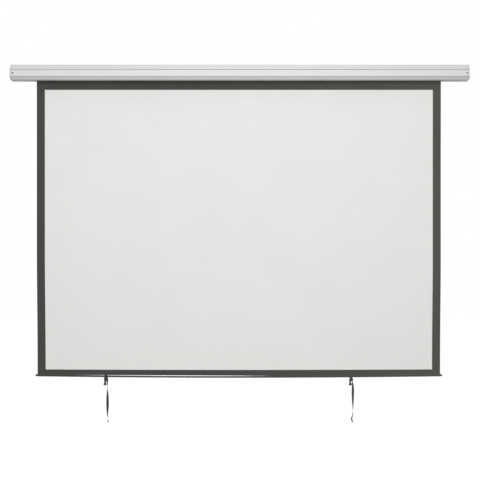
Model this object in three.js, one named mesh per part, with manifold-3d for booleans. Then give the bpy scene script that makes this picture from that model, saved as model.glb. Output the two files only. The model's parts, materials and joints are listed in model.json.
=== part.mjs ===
import * as THREE from "three";
import { mergeVertices } from "three/addons/utils/BufferGeometryUtils.js";
import Module from "manifold-3d";

// An electric projection screen, fully lowered, in millimetres.
// +X runs along the casing to the viewer's right, -Y faces the viewer and +Z is up.
// The origin is the middle of the casing's flat back.

// Clearances
const clearance = 0.3;
const runningGap = 1;
const overrun = 2;

// Casing
const casingDepth = 80;
const endPlay = 8.1;
const casingHeight = 76;
const casingWall = 2.2;
const topInset = 20;
const bottomInset = 13;
const rearInset = 12;
const faceRise = 11.7;
const faceDrop = 25.1;
const grooveWidth = 2.6;
const grooveDepth = 1.2;
const topEdgeRadius = 4;
const bottomEdgeRadius = 6;
const rearEdgeRadius = 3;
const slotWidth = 18;
const slotLip = 6;

// Channel in the casing's back for the wall brackets
const channelRise = 14;
const channelMouth = 8.4;
const channelWidth = 15;
const channelDepth = 4.5;
const channelWall = 2;

// End caps
const capLength = 8;
const capFace = 4;
const capBevel = 1.2;
const tongueLength = 24;
const tongueThickness = 5;
const frontTongueHeight = 20;
const rearTongueHeight = 18;
const topTongueWidth = 36;
const slotTongueLength = 30;

// Screws of the end caps and of the roller's brackets
const screwHeadRadius = 3.8;
const screwHeadHeight = 1.8;
const screwCrownShare = 0.6;
const screwEdgeShare = 0.45;
const screwShankRadius = 2;
const screwLength = 9;
const flatHeadRadius = 3.5;
const flatHeadEdge = 0.2;
const flatHeadRecess = 0.2;
const capScrewInset = 13.5;
const frontScrewDrop = 6.2;
const rearScrewDrop = 10;

// Cable bush in the left end cap
const cableRadius = 3.6;
const bushWall = 2.1;
const bushFlange = 2.4;
const bushFlangeGauge = 1.5;
const bushSetback = 40;
const bushDrop = 10;

// Roller
const rollerOffset = -4.6;
const axisSetback = 49;
const axisRise = 2;
const tubeDiameter = 42;
const tubeWall = 1.2;
const tubeOverhang = 12;

// Tubular motor
const motorDiameter = 35;
const motorLength = 460;
const headDiameter = 46;
const headLength = 36;
const headStep = 5;
const crownSleeve = 18;
const crownFlange = 3;
const crownRim = 1.5;
const shaftWidth = 10;
const shaftLength = 22;
const wheelSetoff = 4;
const wheelWidth = 14;
const pinWidth = 10;
const pinWaist = 8;
const pinEnd = 4;
const clipGauge = 1.2;
const clipRadius = 9;

// Limit screws and the block of the motor head that holds them
const adjusterWidth = 16;
const adjusterLength = 30;
const adjusterSetback = 34;
const adjusterDrop = 25;
const adjusterHeight = 15;
const limitScrewRadius = 3;
const limitScrewLength = 10;
const limitScrewSpacing = 14;
const limitScrewStandout = 2;
const limitSocketAcross = 3;
const limitSocketDepth = 3.5;

// Roller brackets
const bracketGauge = 3;
const earLength = 26;
const earHeight = 20;
const earDrop = 12;
const earScrewReach = 16;
const earScrewSpacing = 10;

// Idler end
const plugLength = 24;
const idlerReach = 36;
const idlerPinRadius = 6;
const idlerPinEnd = 4;
const idlerShoulder = 2.5;
const idlerBushWall = 2;
const idlerBushFlange = 3;

// Terminal box and the motor's lead
const terminalLength = 22;
const terminalWidth = 34;
const terminalHeight = 17;
const terminalSetback = 49;
const terminalDrop = 29;
const leadRadius = 2.5;
const leadOffset = 16;
const leadHoleGap = 1;

// Cloth
const clothWidth = 2000;
const clothGauge = 0.3;
const backingGauge = 0.15;
const printGauge = 0.1;
const sideBorder = 40;
const topBorder = 43;
const bottomBorder = 35;
const pictureHeight = 1383;
const pictureSag = 2.7;
const edgeDrawIn = 4;
const drawInShare = 0.4;

// Weight bar
const barSag = 7;
const rodDiameter = 10;
const rodWall = 1.5;
const pocketApexShare = 1.6;
const rodCapLength = 10;
const rodCapSpigot = 12;
const rodCapTipShare = 0.72;

// Tapes
const leftTieShare = -0.6574;
const rightTieShare = 0.5552;
const tapeWidth = 12.5;
const tapeGauge = 1;
const knotDrop = 27;
const knotBandHeight = 8;
const knotHalfWidth = 10;
const knotHalfDepth = 3.4;
const knotLegWidth = 9.4;
const shortTailFoot = 15;
const shortTailNeck = 6.5;
const shortTailDrop = 45.5;
const leftFootX = -4.6;
const rightFootX = -3.7;
const tapeEdgeShares = [0.92, 0.4];
const knotDropShares = [0, 0.2, 0.4, 0.7, 1];
const straightLegShares = [1, 1, 1, 1, 1];
const crossedLegShares = [-1, 0, 1, 1, 1];

// Wall brackets
const bracketPlaceShare = 0.62;
const wallGap = 10;
const wallBracketGauge = 2.5;
const wallBracketWidth = 60;
const wallBracketRise = 30;
const wallBracketDrop = 22;
const standoff = 2.3;
const wallHoleRadius = 3;
const wallHoleRise = 24;
const wallHoleSpacing = 40;
const jawWidth = 30;
const jawDrop = 4;
const clampHeadRadius = 3.5;
const clampHeadHeight = 4;
const clampShankRadius = 2;
const clampShankLength = 30;

// Counts of sides and steps
const arcSteps = 4;
const bevelSteps = 2;
const hexSides = 6;
const leadSides = 8;
const leadSteps = 14;
const screwSides = 12;
const smallSides = 12;
const roundSides = 24;
const tearSteps = 10;
const panelSteps = 12;
const knotSteps = 8;
const shortTailSteps = 8;
const longTailSteps = 30;

// Places that follow from the sizes
const frontY = -casingDepth;
const topZ = casingHeight / 2;
const bottomZ = -topZ;
const tubeRadius = tubeDiameter / 2;
const sheetGauge = clothGauge + backingGauge + printGauge;
const wrapInner = tubeRadius + clearance;
const wrapOuter = wrapInner + sheetGauge;
const sheetFront = -axisSetback + wrapOuter + clearance;
const sheetMiddle = sheetFront + sheetGauge / 2;
const slotFront = sheetMiddle - slotWidth / 2;
const slotRear = sheetMiddle + slotWidth / 2;
const tubeEnd = clothWidth / 2 + tubeOverhang;
const headNear = tubeEnd + crownFlange + runningGap;
const headFar = headNear + headLength;
const motorPlateNear = headFar + clearance;
const motorPlateFar = motorPlateNear + bracketGauge;
const idlerPlateNear = tubeEnd + crownFlange + idlerReach;
const idlerPlateFar = idlerPlateNear + bracketGauge;
const rollerReach = motorPlateFar + earLength - rollerOffset;
const casingEnd = rollerReach + endPlay + tongueLength + capLength;
const housingEnd = casingEnd - capLength;
const pictureTop = bottomZ - topBorder;
const pictureBottom = pictureTop - pictureHeight;
const pocketInner = rodDiameter / 2 + clearance;
const pocketOuter = pocketInner + sheetGauge;
const rodHeight = pictureBottom - bottomBorder + pocketOuter;
const barHalf = clothWidth / 2 - edgeDrawIn;
const loopInner = pocketOuter + clearance;
const loopOuter = loopInner + tapeGauge;
const clampY = (standoff + wallGap - clearance) / 2;

// The long tails below their knots: x, y and z from the rod's centre, then the tape's turn in degrees
const leftRoute = [
  [6.4, 0, -27.3, 62],
  [7.2, 0.2, -42, 84],
  [7.6, 0.4, -56, 98],
  [7.7, 0.6, -70, 115],
  [7.7, 0.7, -84, 133],
  [7.6, 0.8, -98, 150],
  [7.5, 0.8, -112, 166],
  [7.5, 0.7, -127, 183],
  [7.5, 0.5, -142, 200],
  [7.5, 0.3, -156, 216],
  [7.5, 0, -170, 233],
  [7.6, -0.3, -185, 251],
  [8.3, -0.6, -199, 266],
  [9.6, -0.9, -213, 285],
  [11.2, -1.2, -227.6, 310],
];
const rightRoute = [
  [7, 0, -27.3, 105],
  [8.6, 0.2, -41, 122],
  [9.2, 0.4, -55, 140],
  [9.3, 0.6, -68, 162],
  [9.3, 0.7, -81, 180],
  [9.3, 0.8, -96, 197],
  [9.3, 0.8, -110, 210],
  [9.4, 0.7, -125, 222],
  [9.5, 0.5, -139, 234],
  [9.6, 0.3, -154, 247],
  [9.6, 0, -168, 259],
  [8.8, -0.3, -182, 270],
  [6.2, -0.6, -197, 281],
  [3, -0.9, -212.5, 294],
  [8.4, -1.2, -226, 308],
];
const ties = [
  { word: "left", share: leftTieShare, legShares: straightLegShares, footX: leftFootX, route: leftRoute },
  { word: "right", share: rightTieShare, legShares: crossedLegShares, footX: rightFootX, route: rightRoute },
];

// How far the bar sags at x, as a share of the sag at its middle
const sagShare = (x) => 1 - (x / barHalf) ** 2;
const tieX = (share) => (share * clothWidth) / 2;
const tieZ = (share) => -barSag * sagShare(tieX(share));

// Finishes
const finish = (color, roughness, metalness) => () =>
  new THREE.MeshStandardMaterial({ color, roughness, metalness });
const satinAluminium = finish(0xdfe0dd, 0.4, 0.6);
const greyPlastic = finish(0xd6d7d4, 0.5, 0);
const blackSteel = finish(0x1d1d1c, 0.45, 0.5);
const zincSteel = finish(0xb4b6b8, 0.4, 0.9);
const brightSteel = finish(0xc9cbcd, 0.3, 1);
const blackPlastic = finish(0x2a2a29, 0.55, 0);
const whitePlastic = finish(0xe9e8e2, 0.5, 0);
const yellowPlastic = finish(0xe2b62c, 0.5, 0);
const blackRubber = finish(0x232322, 0.8, 0);
const whiteCloth = finish(0xe8e8e5, 0.85, 0);
const blackPrint = finish(0x4a4a47, 0.8, 0);
const blackCloth = finish(0x31312f, 0.8, 0);
const blackTape = finish(0x383836, 0.85, 0);

const wasm = await Module();
wasm.setup();

// A closed geometry as a solid that can be joined and cut
function solidOf(geometry) {
  const bare = geometry.clone();
  bare.deleteAttribute("normal");
  bare.deleteAttribute("uv");
  const merged = mergeVertices(bare);
  const corners = merged.index.array;
  const kept = [];
  for (let i = 0; i < corners.length; i += 3) {
    const [a, b, c] = corners.slice(i, i + 3);
    if (a !== b && b !== c && c !== a) kept.push(a, b, c);
  }
  const vertProperties = new Float32Array(merged.attributes.position.array);
  return new wasm.Manifold(new wasm.Mesh({ numProp: 3, vertProperties, triVerts: new Uint32Array(kept) }));
}

function geometryOf(solid) {
  const mesh = solid.getMesh();
  const geometry = new THREE.BufferGeometry();
  geometry.setAttribute("position", new THREE.BufferAttribute(mesh.vertProperties, mesh.numProp));
  geometry.setIndex(new THREE.BufferAttribute(mesh.triVerts, 1));
  return geometry;
}

function join(...parts) {
  return geometryOf(parts.map(solidOf).reduce((whole, part) => whole.add(part)));
}

function cut(base, ...tools) {
  return geometryOf(tools.reduce((whole, tool) => whole.subtract(solidOf(tool)), solidOf(base)));
}

// A block between two opposite corners
function block(low, high) {
  const size = high.map((value, i) => value - low[i]);
  const middle = high.map((value, i) => (value + low[i]) / 2);
  return new THREE.BoxGeometry(...size).translate(...middle);
}

const alongX = new THREE.Matrix4().makeBasis(
  new THREE.Vector3(0, 1, 0),
  new THREE.Vector3(0, 0, 1),
  new THREE.Vector3(1, 0, 0),
);

// An outline of (y, z) points run along X from start, with holes cut out of it
function prism(outline, start, length, holes = [], steps = 1) {
  const shape = new THREE.Shape(outline);
  shape.holes = holes.map((hole) => new THREE.Path(hole));
  return new THREE.ExtrudeGeometry(shape, { depth: length, steps, bevelEnabled: false })
    .applyMatrix4(alongX)
    .translate(start, 0, 0);
}

function circle(radius, sides, y = 0, z = 0) {
  return Array.from({ length: sides }, (_, i) => {
    const angle = (i / sides) * Math.PI * 2;
    return new THREE.Vector2(y + radius * Math.cos(angle), z + radius * Math.sin(angle));
  });
}

// A tube or ring along X
function sleeve(outer, inner, start, length, sides) {
  return prism(circle(outer, sides), start, length, [circle(inner, sides)]);
}

// A turned piece: profile holds (place along the axis, radius) pairs, from one end to the other
function turned(profile, sides) {
  const points = profile.map(([along, radius]) => new THREE.Vector2(radius, along));
  return new THREE.LatheGeometry(points, sides);
}

const turnedX = (profile, sides) => turned(profile, sides).rotateZ(-Math.PI / 2);
const turnedZ = (profile, sides) => turned(profile, sides).rotateX(Math.PI / 2);

// A cylinder that cuts a hole along Y or Z
const stub = (radius, low, high) => [[low, 0], [low, radius], [high, radius], [high, 0]];
const drillY = (radius, sides, low, high) => turned(stub(radius, low, high), sides);
const drillZ = (radius, sides, low, high) => turnedZ(stub(radius, low, high), sides);

function addTo(group, name, geometry, material, place = [0, 0, 0], turn = [0, 0, 0]) {
  const mesh = new THREE.Mesh(geometry, material());
  mesh.name = name;
  mesh.position.set(...place);
  mesh.rotation.set(...turn);
  group.add(mesh);
  return mesh;
}

// The casing's eight corners, moved inwards by inset, from the lower front one round by the front
function shellCorners(inset) {
  const rearHigh = topZ - rearInset;
  const outer = [
    [frontY + bottomInset, bottomZ, bottomEdgeRadius],
    [frontY, -faceDrop, 0],
    [frontY, faceRise, 0],
    [frontY + topInset, topZ, topEdgeRadius],
    [-rearInset, topZ, rearEdgeRadius],
    [0, rearHigh, rearEdgeRadius],
    [0, -rearHigh, rearEdgeRadius],
    [-rearInset, bottomZ, rearEdgeRadius],
  ].map(([y, z, radius]) => ({ at: new THREE.Vector2(y, z), radius }));
  return outer.map(({ at, radius }, i) => {
    const before = outer[(i + outer.length - 1) % outer.length].at;
    const after = outer[(i + 1) % outer.length].at;
    const along = at.clone().sub(before).normalize();
    const onward = after.clone().sub(at).normalize();
    const inwards = [along, onward].map((way) => new THREE.Vector2(way.y, -way.x));
    const shift = inset / (1 + inwards[0].dot(inwards[1]));
    const moved = inwards[0].add(inwards[1]).multiplyScalar(shift).add(at);
    return { at: moved, radius: Math.max(radius - inset, 0) };
  });
}

// The points that round corner i of a list of corners
function rounded(corners, i) {
  const { at, radius } = corners[i];
  if (radius === 0) return [at];
  const before = corners[(i + corners.length - 1) % corners.length].at;
  const after = corners[(i + 1) % corners.length].at;
  const back = before.clone().sub(at).normalize();
  const onward = after.clone().sub(at).normalize();
  const half = Math.acos(back.dot(onward)) / 2;
  const start = back.clone().multiplyScalar(radius / Math.tan(half)).add(at);
  const end = onward.clone().multiplyScalar(radius / Math.tan(half)).add(at);
  const centre = back.add(onward).normalize().multiplyScalar(radius / Math.sin(half)).add(at);
  const first = start.sub(centre).angle();
  const turn = end.sub(centre).angle() - first + Math.PI;
  const sweep = THREE.MathUtils.euclideanModulo(turn, 2 * Math.PI) - Math.PI;
  return Array.from({ length: arcSteps + 1 }, (_, step) => {
    const angle = first + (sweep * step) / arcSteps;
    return new THREE.Vector2(Math.cos(angle), Math.sin(angle)).multiplyScalar(radius).add(centre);
  });
}

const point = (y, z) => new THREE.Vector2(y, z);

// The front outline from the lower front corner to the upper one, with a groove at each edge of its face
function grooveLine() {
  const grooveFloor = frontY + grooveDepth;
  return [
    point(frontY, -faceDrop),
    point(grooveFloor, -faceDrop),
    point(grooveFloor, -faceDrop + grooveWidth),
    point(frontY, -faceDrop + grooveWidth),
    point(frontY, faceRise - grooveWidth),
    point(grooveFloor, faceRise - grooveWidth),
    point(grooveFloor, faceRise),
    point(frontY, faceRise),
  ];
}

function casingOutline() {
  const corners = shellCorners(0);
  return [
    ...rounded(corners, 0),
    ...grooveLine(),
    ...[3, 4, 5, 6, 7].flatMap((i) => rounded(corners, i)),
  ];
}

// The extrusion's section: an open shell with lips at the slot and the bracket channel in its back
function housingOutline() {
  const outer = shellCorners(0);
  const inner = shellCorners(casingWall);
  const mouth = [channelRise + channelMouth / 2, channelRise - channelMouth / 2];
  const pocket = [channelRise + channelWidth / 2, channelRise - channelWidth / 2];
  const floor = -casingWall - channelDepth;
  const pocketBack = floor - channelWall;
  const lipTop = bottomZ + slotLip;
  return [
    point(slotFront, bottomZ),
    ...rounded(outer, 0),
    ...grooveLine(),
    ...[3, 4, 5].flatMap((i) => rounded(outer, i)),
    point(0, mouth[0]),
    point(-casingWall, mouth[0]),
    point(-casingWall, pocket[0]),
    point(floor, pocket[0]),
    point(floor, pocket[1]),
    point(-casingWall, pocket[1]),
    point(-casingWall, mouth[1]),
    point(0, mouth[1]),
    ...[6, 7].flatMap((i) => rounded(outer, i)),
    point(slotRear, bottomZ),
    point(slotRear, lipTop),
    point(slotRear + casingWall, lipTop),
    point(slotRear + casingWall, bottomZ + casingWall),
    inner[7].at,
    inner[6].at,
    point(-casingWall, pocket[1] - channelWall),
    point(pocketBack, pocket[1] - channelWall),
    point(pocketBack, pocket[0] + channelWall),
    point(-casingWall, pocket[0] + channelWall),
    ...[5, 4, 3, 2, 1, 0].map((i) => inner[i].at),
    point(slotFront - casingWall, bottomZ + casingWall),
    point(slotFront - casingWall, lipTop),
    point(slotFront, lipTop),
  ];
}

// The screws that pass through the casing's wall: side is -1 in the front wall and 1 in the back
function screwPlaces() {
  const capX = casingEnd - capScrewInset;
  const places = [];
  for (const [word, end] of [["left", -1], ["right", 1]]) {
    places.push({ name: `${word}_cap_front_screw`, x: end * capX, z: -frontScrewDrop, side: -1 });
    places.push({ name: `${word}_cap_rear_screw`, x: end * capX, z: -rearScrewDrop, side: 1 });
  }
  for (const [word, x] of [
    ["motor", rollerOffset - motorPlateFar - earScrewReach],
    ["idler", rollerOffset + idlerPlateFar + earScrewReach],
  ]) {
    places.push({ name: `${word}_bracket_upper_screw`, x, z: -earDrop + earScrewSpacing / 2, side: 1 });
    places.push({ name: `${word}_bracket_lower_screw`, x, z: -earDrop - earScrewSpacing / 2, side: 1 });
  }
  return places;
}

// The holes that those screws need between two depths behind the viewer's side of a wall
function screwHoles(places, low, high) {
  const radius = screwShankRadius + clearance;
  return places.map(({ x, z }) => drillY(radius, screwSides, low, high).translate(x, 0, z));
}

function housing() {
  const places = screwPlaces();
  const front = places.filter(({ side }) => side < 0);
  const rear = places.filter(({ side }) => side > 0);
  return cut(
    prism(housingOutline(), -housingEnd, 2 * housingEnd),
    ...screwHoles(front, frontY - overrun, frontY + casingWall + overrun),
    ...rear.map(({ x, z }) => countersink().translate(x, 0, z)),
  );
}

// The hole for a countersunk screw in the back wall: a shank hole, a cone and a short straight rim
function countersink() {
  const low = -casingWall - overrun;
  const shank = screwShankRadius + clearance;
  const rim = flatHeadRadius + clearance;
  const coneTop = -flatHeadRecess - flatHeadEdge;
  const coneFoot = coneTop - (flatHeadRadius - screwShankRadius);
  return turned(
    [[low, 0], [low, shank], [coneFoot, shank], [coneTop, rim], [overrun, rim], [overrun, 0]],
    screwSides,
  );
}

// A pan head screw whose head bears on y = 0 and whose shank points along +Y
function panScrew() {
  const crown = screwHeadRadius * screwCrownShare;
  const edge = screwHeadHeight * screwEdgeShare;
  return turned(
    [
      [-screwHeadHeight, 0],
      [-screwHeadHeight, crown],
      [-edge, screwHeadRadius],
      [0, screwHeadRadius],
      [0, screwShankRadius],
      [screwLength, screwShankRadius],
      [screwLength, 0],
    ],
    screwSides,
  );
}

// A countersunk screw just below the back face at y = 0, whose shank points along -Y
function flatScrew() {
  const top = -flatHeadRecess;
  const coneTop = top - flatHeadEdge;
  return turned(
    [
      [-screwLength, 0],
      [-screwLength, screwShankRadius],
      [coneTop - (flatHeadRadius - screwShankRadius), screwShankRadius],
      [coneTop, flatHeadRadius],
      [top, flatHeadRadius],
      [top, 0],
    ],
    screwSides,
  );
}

// A hollow end cap whose tongues run into the housing; its outer face is at x = 0 and it grows to +X
function endCap() {
  const slab = new THREE.ExtrudeGeometry(new THREE.Shape(casingOutline()), {
    depth: capLength,
    bevelThickness: capBevel,
    bevelSize: capBevel,
    bevelOffset: -capBevel,
    bevelSegments: bevelSteps,
  });
  const body = slab.applyMatrix4(alongX).translate(capBevel, 0, 0);
  const inside = shellCorners(casingWall);
  const hollow = prism(inside.map(({ at }) => at), capFace, casingDepth);
  const behind = block(
    [capLength, frontY - overrun, bottomZ - overrun],
    [casingDepth, overrun, topZ + overrun],
  );
  const seat = casingWall + clearance;
  const depth = capLength + tongueLength;
  const root = capFace - capBevel;
  const frontTongue = block(
    [root, frontY + seat, -frontScrewDrop - frontTongueHeight / 2],
    [depth, frontY + seat + tongueThickness, -frontScrewDrop + frontTongueHeight / 2],
  );
  const rearTongue = block(
    [root, -seat - tongueThickness, -rearScrewDrop - rearTongueHeight / 2],
    [depth, -seat, -rearScrewDrop + rearTongueHeight / 2],
  );
  const topMiddle = (frontY + topInset - rearInset) / 2;
  const topTongue = block(
    [root, topMiddle - topTongueWidth / 2, topZ - seat - tongueThickness],
    [depth, topMiddle + topTongueWidth / 2, topZ - seat],
  );
  const slotTongue = block(
    [root, slotFront + clearance, bottomZ],
    [capLength + slotTongueLength, slotRear - clearance, bottomZ + slotLip],
  );
  const shell = cut(body, hollow, behind);
  const whole = join(shell, frontTongue, rearTongue, topTongue, slotTongue);
  const screws = [
    { x: capScrewInset, z: -frontScrewDrop },
    { x: capScrewInset, z: -rearScrewDrop },
  ];
  return cut(
    whole,
    ...screwHoles([screws[0]], frontY + casingWall, frontY + seat + tongueThickness + overrun),
    ...screwHoles([screws[1]], -seat - tongueThickness - overrun, -casingWall),
  );
}

// The left cap has a stepped hole for the cable bush
function leftEndCap() {
  const sleeveHole = cableRadius + bushWall + clearance;
  const recess = sleeveHole + bushFlange;
  return cut(
    endCap(),
    prism(circle(sleeveHole, smallSides, -bushSetback, -bushDrop), -overrun, capFace + 2 * overrun),
    prism(
      circle(recess, smallSides, -bushSetback, -bushDrop),
      -overrun,
      overrun + bushFlangeGauge + clearance,
    ),
  );
}

// The right cap is the left one's mirror image without the cable hole
function mirrored(geometry) {
  const flipped = geometry.clone().scale(-1, 1, 1);
  const corners = flipped.index.array;
  for (let i = 0; i < corners.length; i += 3) [corners[i], corners[i + 1]] = [corners[i + 1], corners[i]];
  return flipped;
}

// A grommet: a sleeve through the cap's face with a flange on either side of it
function cableBush() {
  const outside = cableRadius + bushWall;
  const rim = outside + bushFlange;
  const recessFloor = bushFlangeGauge + clearance;
  const length = capFace + clearance + bushFlangeGauge;
  return turnedX(
    [
      [clearance, cableRadius],
      [clearance, rim],
      [recessFloor, rim],
      [recessFloor, outside],
      [capFace + clearance, outside],
      [capFace + clearance, rim],
      [length, rim],
      [length, cableRadius],
      [clearance, cableRadius],
    ],
    smallSides,
  );
}

// A bent plate across the casing that carries one end of the roller
// Its near face is at x = 0, its ear points along +X, and holes are cut along X through it
function rollerBracket(...holes) {
  const seat = casingWall + clearance;
  const plate = prism(shellCorners(seat).map(({ at }) => at), 0, bracketGauge);
  const pocketBack = -casingWall - channelDepth - channelWall;
  const pocketLow = channelRise - channelWidth / 2 - channelWall;
  const channelNotch = block(
    [-overrun, pocketBack - clearance, pocketLow - clearance],
    [bracketGauge + overrun, overrun, topZ],
  );
  const lipNotch = block(
    [-overrun, frontY, bottomZ - overrun],
    [bracketGauge + overrun, overrun, bottomZ + slotLip + clearance],
  );
  const ear = block(
    [0, -seat - bracketGauge, -earDrop - earHeight / 2],
    [bracketGauge + earLength, -seat, -earDrop + earHeight / 2],
  );
  const x = bracketGauge + earScrewReach;
  const screws = [-1, 1].map((side) => ({ x, z: -earDrop + (side * earScrewSpacing) / 2 }));
  return cut(
    join(cut(plate, channelNotch, lipNotch), ear),
    ...screwHoles(screws, -seat - bracketGauge - overrun, -seat + overrun),
    ...holes,
  );
}

function motorBracket() {
  const hole = pinWidth / 2 + clearance;
  const pinHole = block(
    [-overrun, -axisSetback - hole, axisRise - hole],
    [bracketGauge + overrun, -axisSetback + hole, axisRise + hole],
  );
  const leadHole = prism(
    circle(leadRadius + leadHoleGap, screwSides, -axisSetback - leadOffset, axisRise),
    -overrun,
    bracketGauge + 2 * overrun,
  );
  return mirrored(rollerBracket(pinHole, leadHole));
}

function idlerBracket() {
  const radius = idlerPinRadius + clearance + idlerBushWall + clearance;
  return rollerBracket(
    prism(circle(radius, roundSides, -axisSetback, axisRise), -overrun, bracketGauge + 2 * overrun),
  );
}

// The fixed end of the motor, its outer face at x = 0 and its body towards +X
function motorHead() {
  const radius = headDiameter / 2;
  const body = turnedX(
    [
      [0, 0],
      [0, radius - headStep],
      [headStep, radius - headStep / 2],
      [headStep, radius],
      [headLength - headStep, radius],
      [headLength - headStep, radius - headStep / 2],
      [headLength, radius - headStep / 2],
      [headLength, 0],
    ],
    roundSides,
  );
  const first = (headLength - adjusterLength) / 2;
  const y = axisSetback - adjusterSetback;
  const low = -axisRise - adjusterDrop;
  const adjuster = block(
    [first, y - adjusterWidth / 2, low],
    [first + adjusterLength, y + adjusterWidth / 2, low + adjusterHeight],
  );
  const depth = limitScrewLength - limitScrewStandout + clearance;
  const holes = [-1, 1].map((side) =>
    drillZ(limitScrewRadius + clearance, smallSides, low - overrun, low + depth).translate(
      headLength / 2 + (side * limitScrewSpacing) / 2,
      y,
      0,
    ),
  );
  return cut(join(body, adjuster), ...holes);
}

// The square pin of the motor head, with a waist for the clip; its root is at x = 0 and it points to -X
function motorPin() {
  const waistNear = clearance + bracketGauge;
  const waistFar = waistNear + clipGauge + 2 * clearance;
  const length = waistFar + pinEnd;
  const half = pinWidth / 2;
  const neck = pinWaist / 2;
  return join(
    block([-length, -neck, -neck], [0, neck, neck]),
    block([-waistNear, -half, -half], [0, half, half]),
    block([-length, -half, -half], [-waistFar, half, half]),
  );
}

// A fork that slides over the pin's waist from above
function retainingClip() {
  const gap = pinWaist / 2 + clearance;
  const arch = Array.from({ length: smallSides + 1 }, (_, i) => {
    const angle = -Math.PI / 4 + (1.5 * Math.PI * i) / smallSides;
    return point(clipRadius * Math.cos(angle), clipRadius * Math.sin(angle));
  });
  const foot = arch[0].y;
  const slot = [point(-gap, foot), point(-gap, gap), point(gap, gap), point(gap, foot)];
  return prism([...arch, ...slot], -clipGauge, clipGauge);
}

function motorCase() {
  return turnedX(stub(motorDiameter / 2, 0, motorLength), roundSides);
}

function crownRing() {
  const bore = motorDiameter / 2 + clearance;
  const fit = tubeRadius - tubeWall - clearance;
  const rim = tubeRadius + crownRim;
  return turnedX(
    [
      [-crownFlange, bore],
      [-crownFlange, rim],
      [0, rim],
      [0, fit],
      [crownSleeve, fit],
      [crownSleeve, bore],
      [-crownFlange, bore],
    ],
    roundSides,
  );
}

function driveWheel() {
  const half = shaftWidth / 2 + clearance;
  const bore = [point(-half, -half), point(half, -half), point(half, half), point(-half, half)];
  return prism(circle(tubeRadius - tubeWall - clearance, roundSides), 0, wheelWidth, [bore]);
}

function outputShaft() {
  const half = shaftWidth / 2;
  return block([0, -half, -half], [shaftLength, half, half]);
}

function idlerPlug() {
  const bore = idlerPinRadius + clearance;
  const fit = tubeRadius - tubeWall - clearance;
  return turnedX(
    [
      [-plugLength, bore],
      [-plugLength, fit],
      [0, fit],
      [0, tubeRadius + crownRim],
      [crownFlange, tubeRadius + crownRim],
      [crownFlange, bore],
      [-plugLength, bore],
    ],
    roundSides,
  );
}

// The pin starts inside the plug, bears on it with a shoulder and ends past the idler bracket
function idlerPin() {
  const shoulder = crownFlange + clearance;
  const end = idlerPlateFar - tubeEnd + idlerPinEnd;
  return turnedX(
    [
      [-plugLength, 0],
      [-plugLength, idlerPinRadius],
      [shoulder, idlerPinRadius],
      [shoulder, idlerPinRadius + idlerShoulder],
      [shoulder + bracketGauge, idlerPinRadius + idlerShoulder],
      [shoulder + bracketGauge, idlerPinRadius],
      [end, idlerPinRadius],
      [end, 0],
    ],
    roundSides,
  );
}

// A flanged bush in the idler bracket, its flange on the roller's side of the plate at x = 0
function idlerBush() {
  const bore = idlerPinRadius + clearance;
  const outside = bore + idlerBushWall;
  const end = bracketGauge + clearance;
  return turnedX(
    [
      [-idlerBushWall, bore],
      [-idlerBushWall, outside + idlerBushFlange],
      [0, outside + idlerBushFlange],
      [0, outside],
      [end, outside],
      [end, bore],
      [-idlerBushWall, bore],
    ],
    roundSides,
  );
}

function limitScrew() {
  const socket = drillZ(limitSocketAcross / Math.sqrt(3), hexSides, -overrun, limitSocketDepth);
  return cut(drillZ(limitScrewRadius, smallSides, 0, limitScrewLength), socket);
}

// The motor's lead leaves the head, passes the bracket and bends down into the terminal box
function motorLead() {
  const far = -motorPlateFar;
  const leadY = -axisSetback - leadOffset;
  const boxTop = -terminalDrop + terminalHeight;
  const middle = far - clearance - terminalLength / 2;
  const route = new THREE.CatmullRomCurve3([
    new THREE.Vector3(-headFar - clearance, leadY, axisRise),
    new THREE.Vector3(far, leadY, axisRise),
    new THREE.Vector3((far + middle) / 2, leadY + leadRadius / 2, axisRise - leadRadius),
    new THREE.Vector3(middle, leadY + leadRadius, (axisRise + boxTop) / 2),
    new THREE.Vector3(middle, leadY + leadRadius, boxTop + clearance),
  ]);
  const section = new THREE.Shape(circle(leadRadius, leadSides));
  return new THREE.ExtrudeGeometry(section, { steps: leadSteps, extrudePath: route });
}

function terminalBox() {
  const far = -motorPlateFar - clearance;
  return block(
    [far - terminalLength, -terminalSetback - terminalWidth / 2, -terminalDrop],
    [far, -terminalSetback + terminalWidth / 2, -terminalDrop + terminalHeight],
  );
}

// Half the cloth's width at height z: straight, then drawn in smoothly to the bar
function halfWidthAt(z, half) {
  const start = pictureBottom * (1 - drawInShare);
  const run = THREE.MathUtils.smoothstep(-z, -start, -pictureBottom);
  return half - edgeDrawIn * run;
}

// The points of a sheet edge from one height to another, side is -1 on the left and 1 on the right
function sideEdge(side, half, from, to) {
  return Array.from({ length: panelSteps + 1 }, (_, i) => {
    const z = from + ((to - from) * i) / panelSteps;
    return new THREE.Vector2(side * halfWidthAt(z, half), z);
  });
}

// The points of the picture's lower edge from x to -x, both ends left out
function lowerEdge(half) {
  return Array.from({ length: panelSteps - 1 }, (_, i) => {
    const x = half * (1 - (2 * (i + 1)) / panelSteps);
    return new THREE.Vector2(x, pictureBottom - pictureSag * sagShare(x));
  });
}

// A sheet in the x-z plane whose outline holds (x, z) points, with its front at y = 0
function sheet(outline, gauge) {
  return new THREE.ExtrudeGeometry(new THREE.Shape(outline), { depth: gauge, bevelEnabled: false })
    .rotateX(Math.PI / 2)
    .translate(0, gauge, 0);
}

function clothOutline() {
  const half = clothWidth / 2;
  return [
    ...sideEdge(-1, half, pictureBottom, axisRise),
    ...sideEdge(1, half, axisRise, pictureBottom),
    ...lowerEdge(halfWidthAt(pictureBottom, half)),
  ];
}

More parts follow.
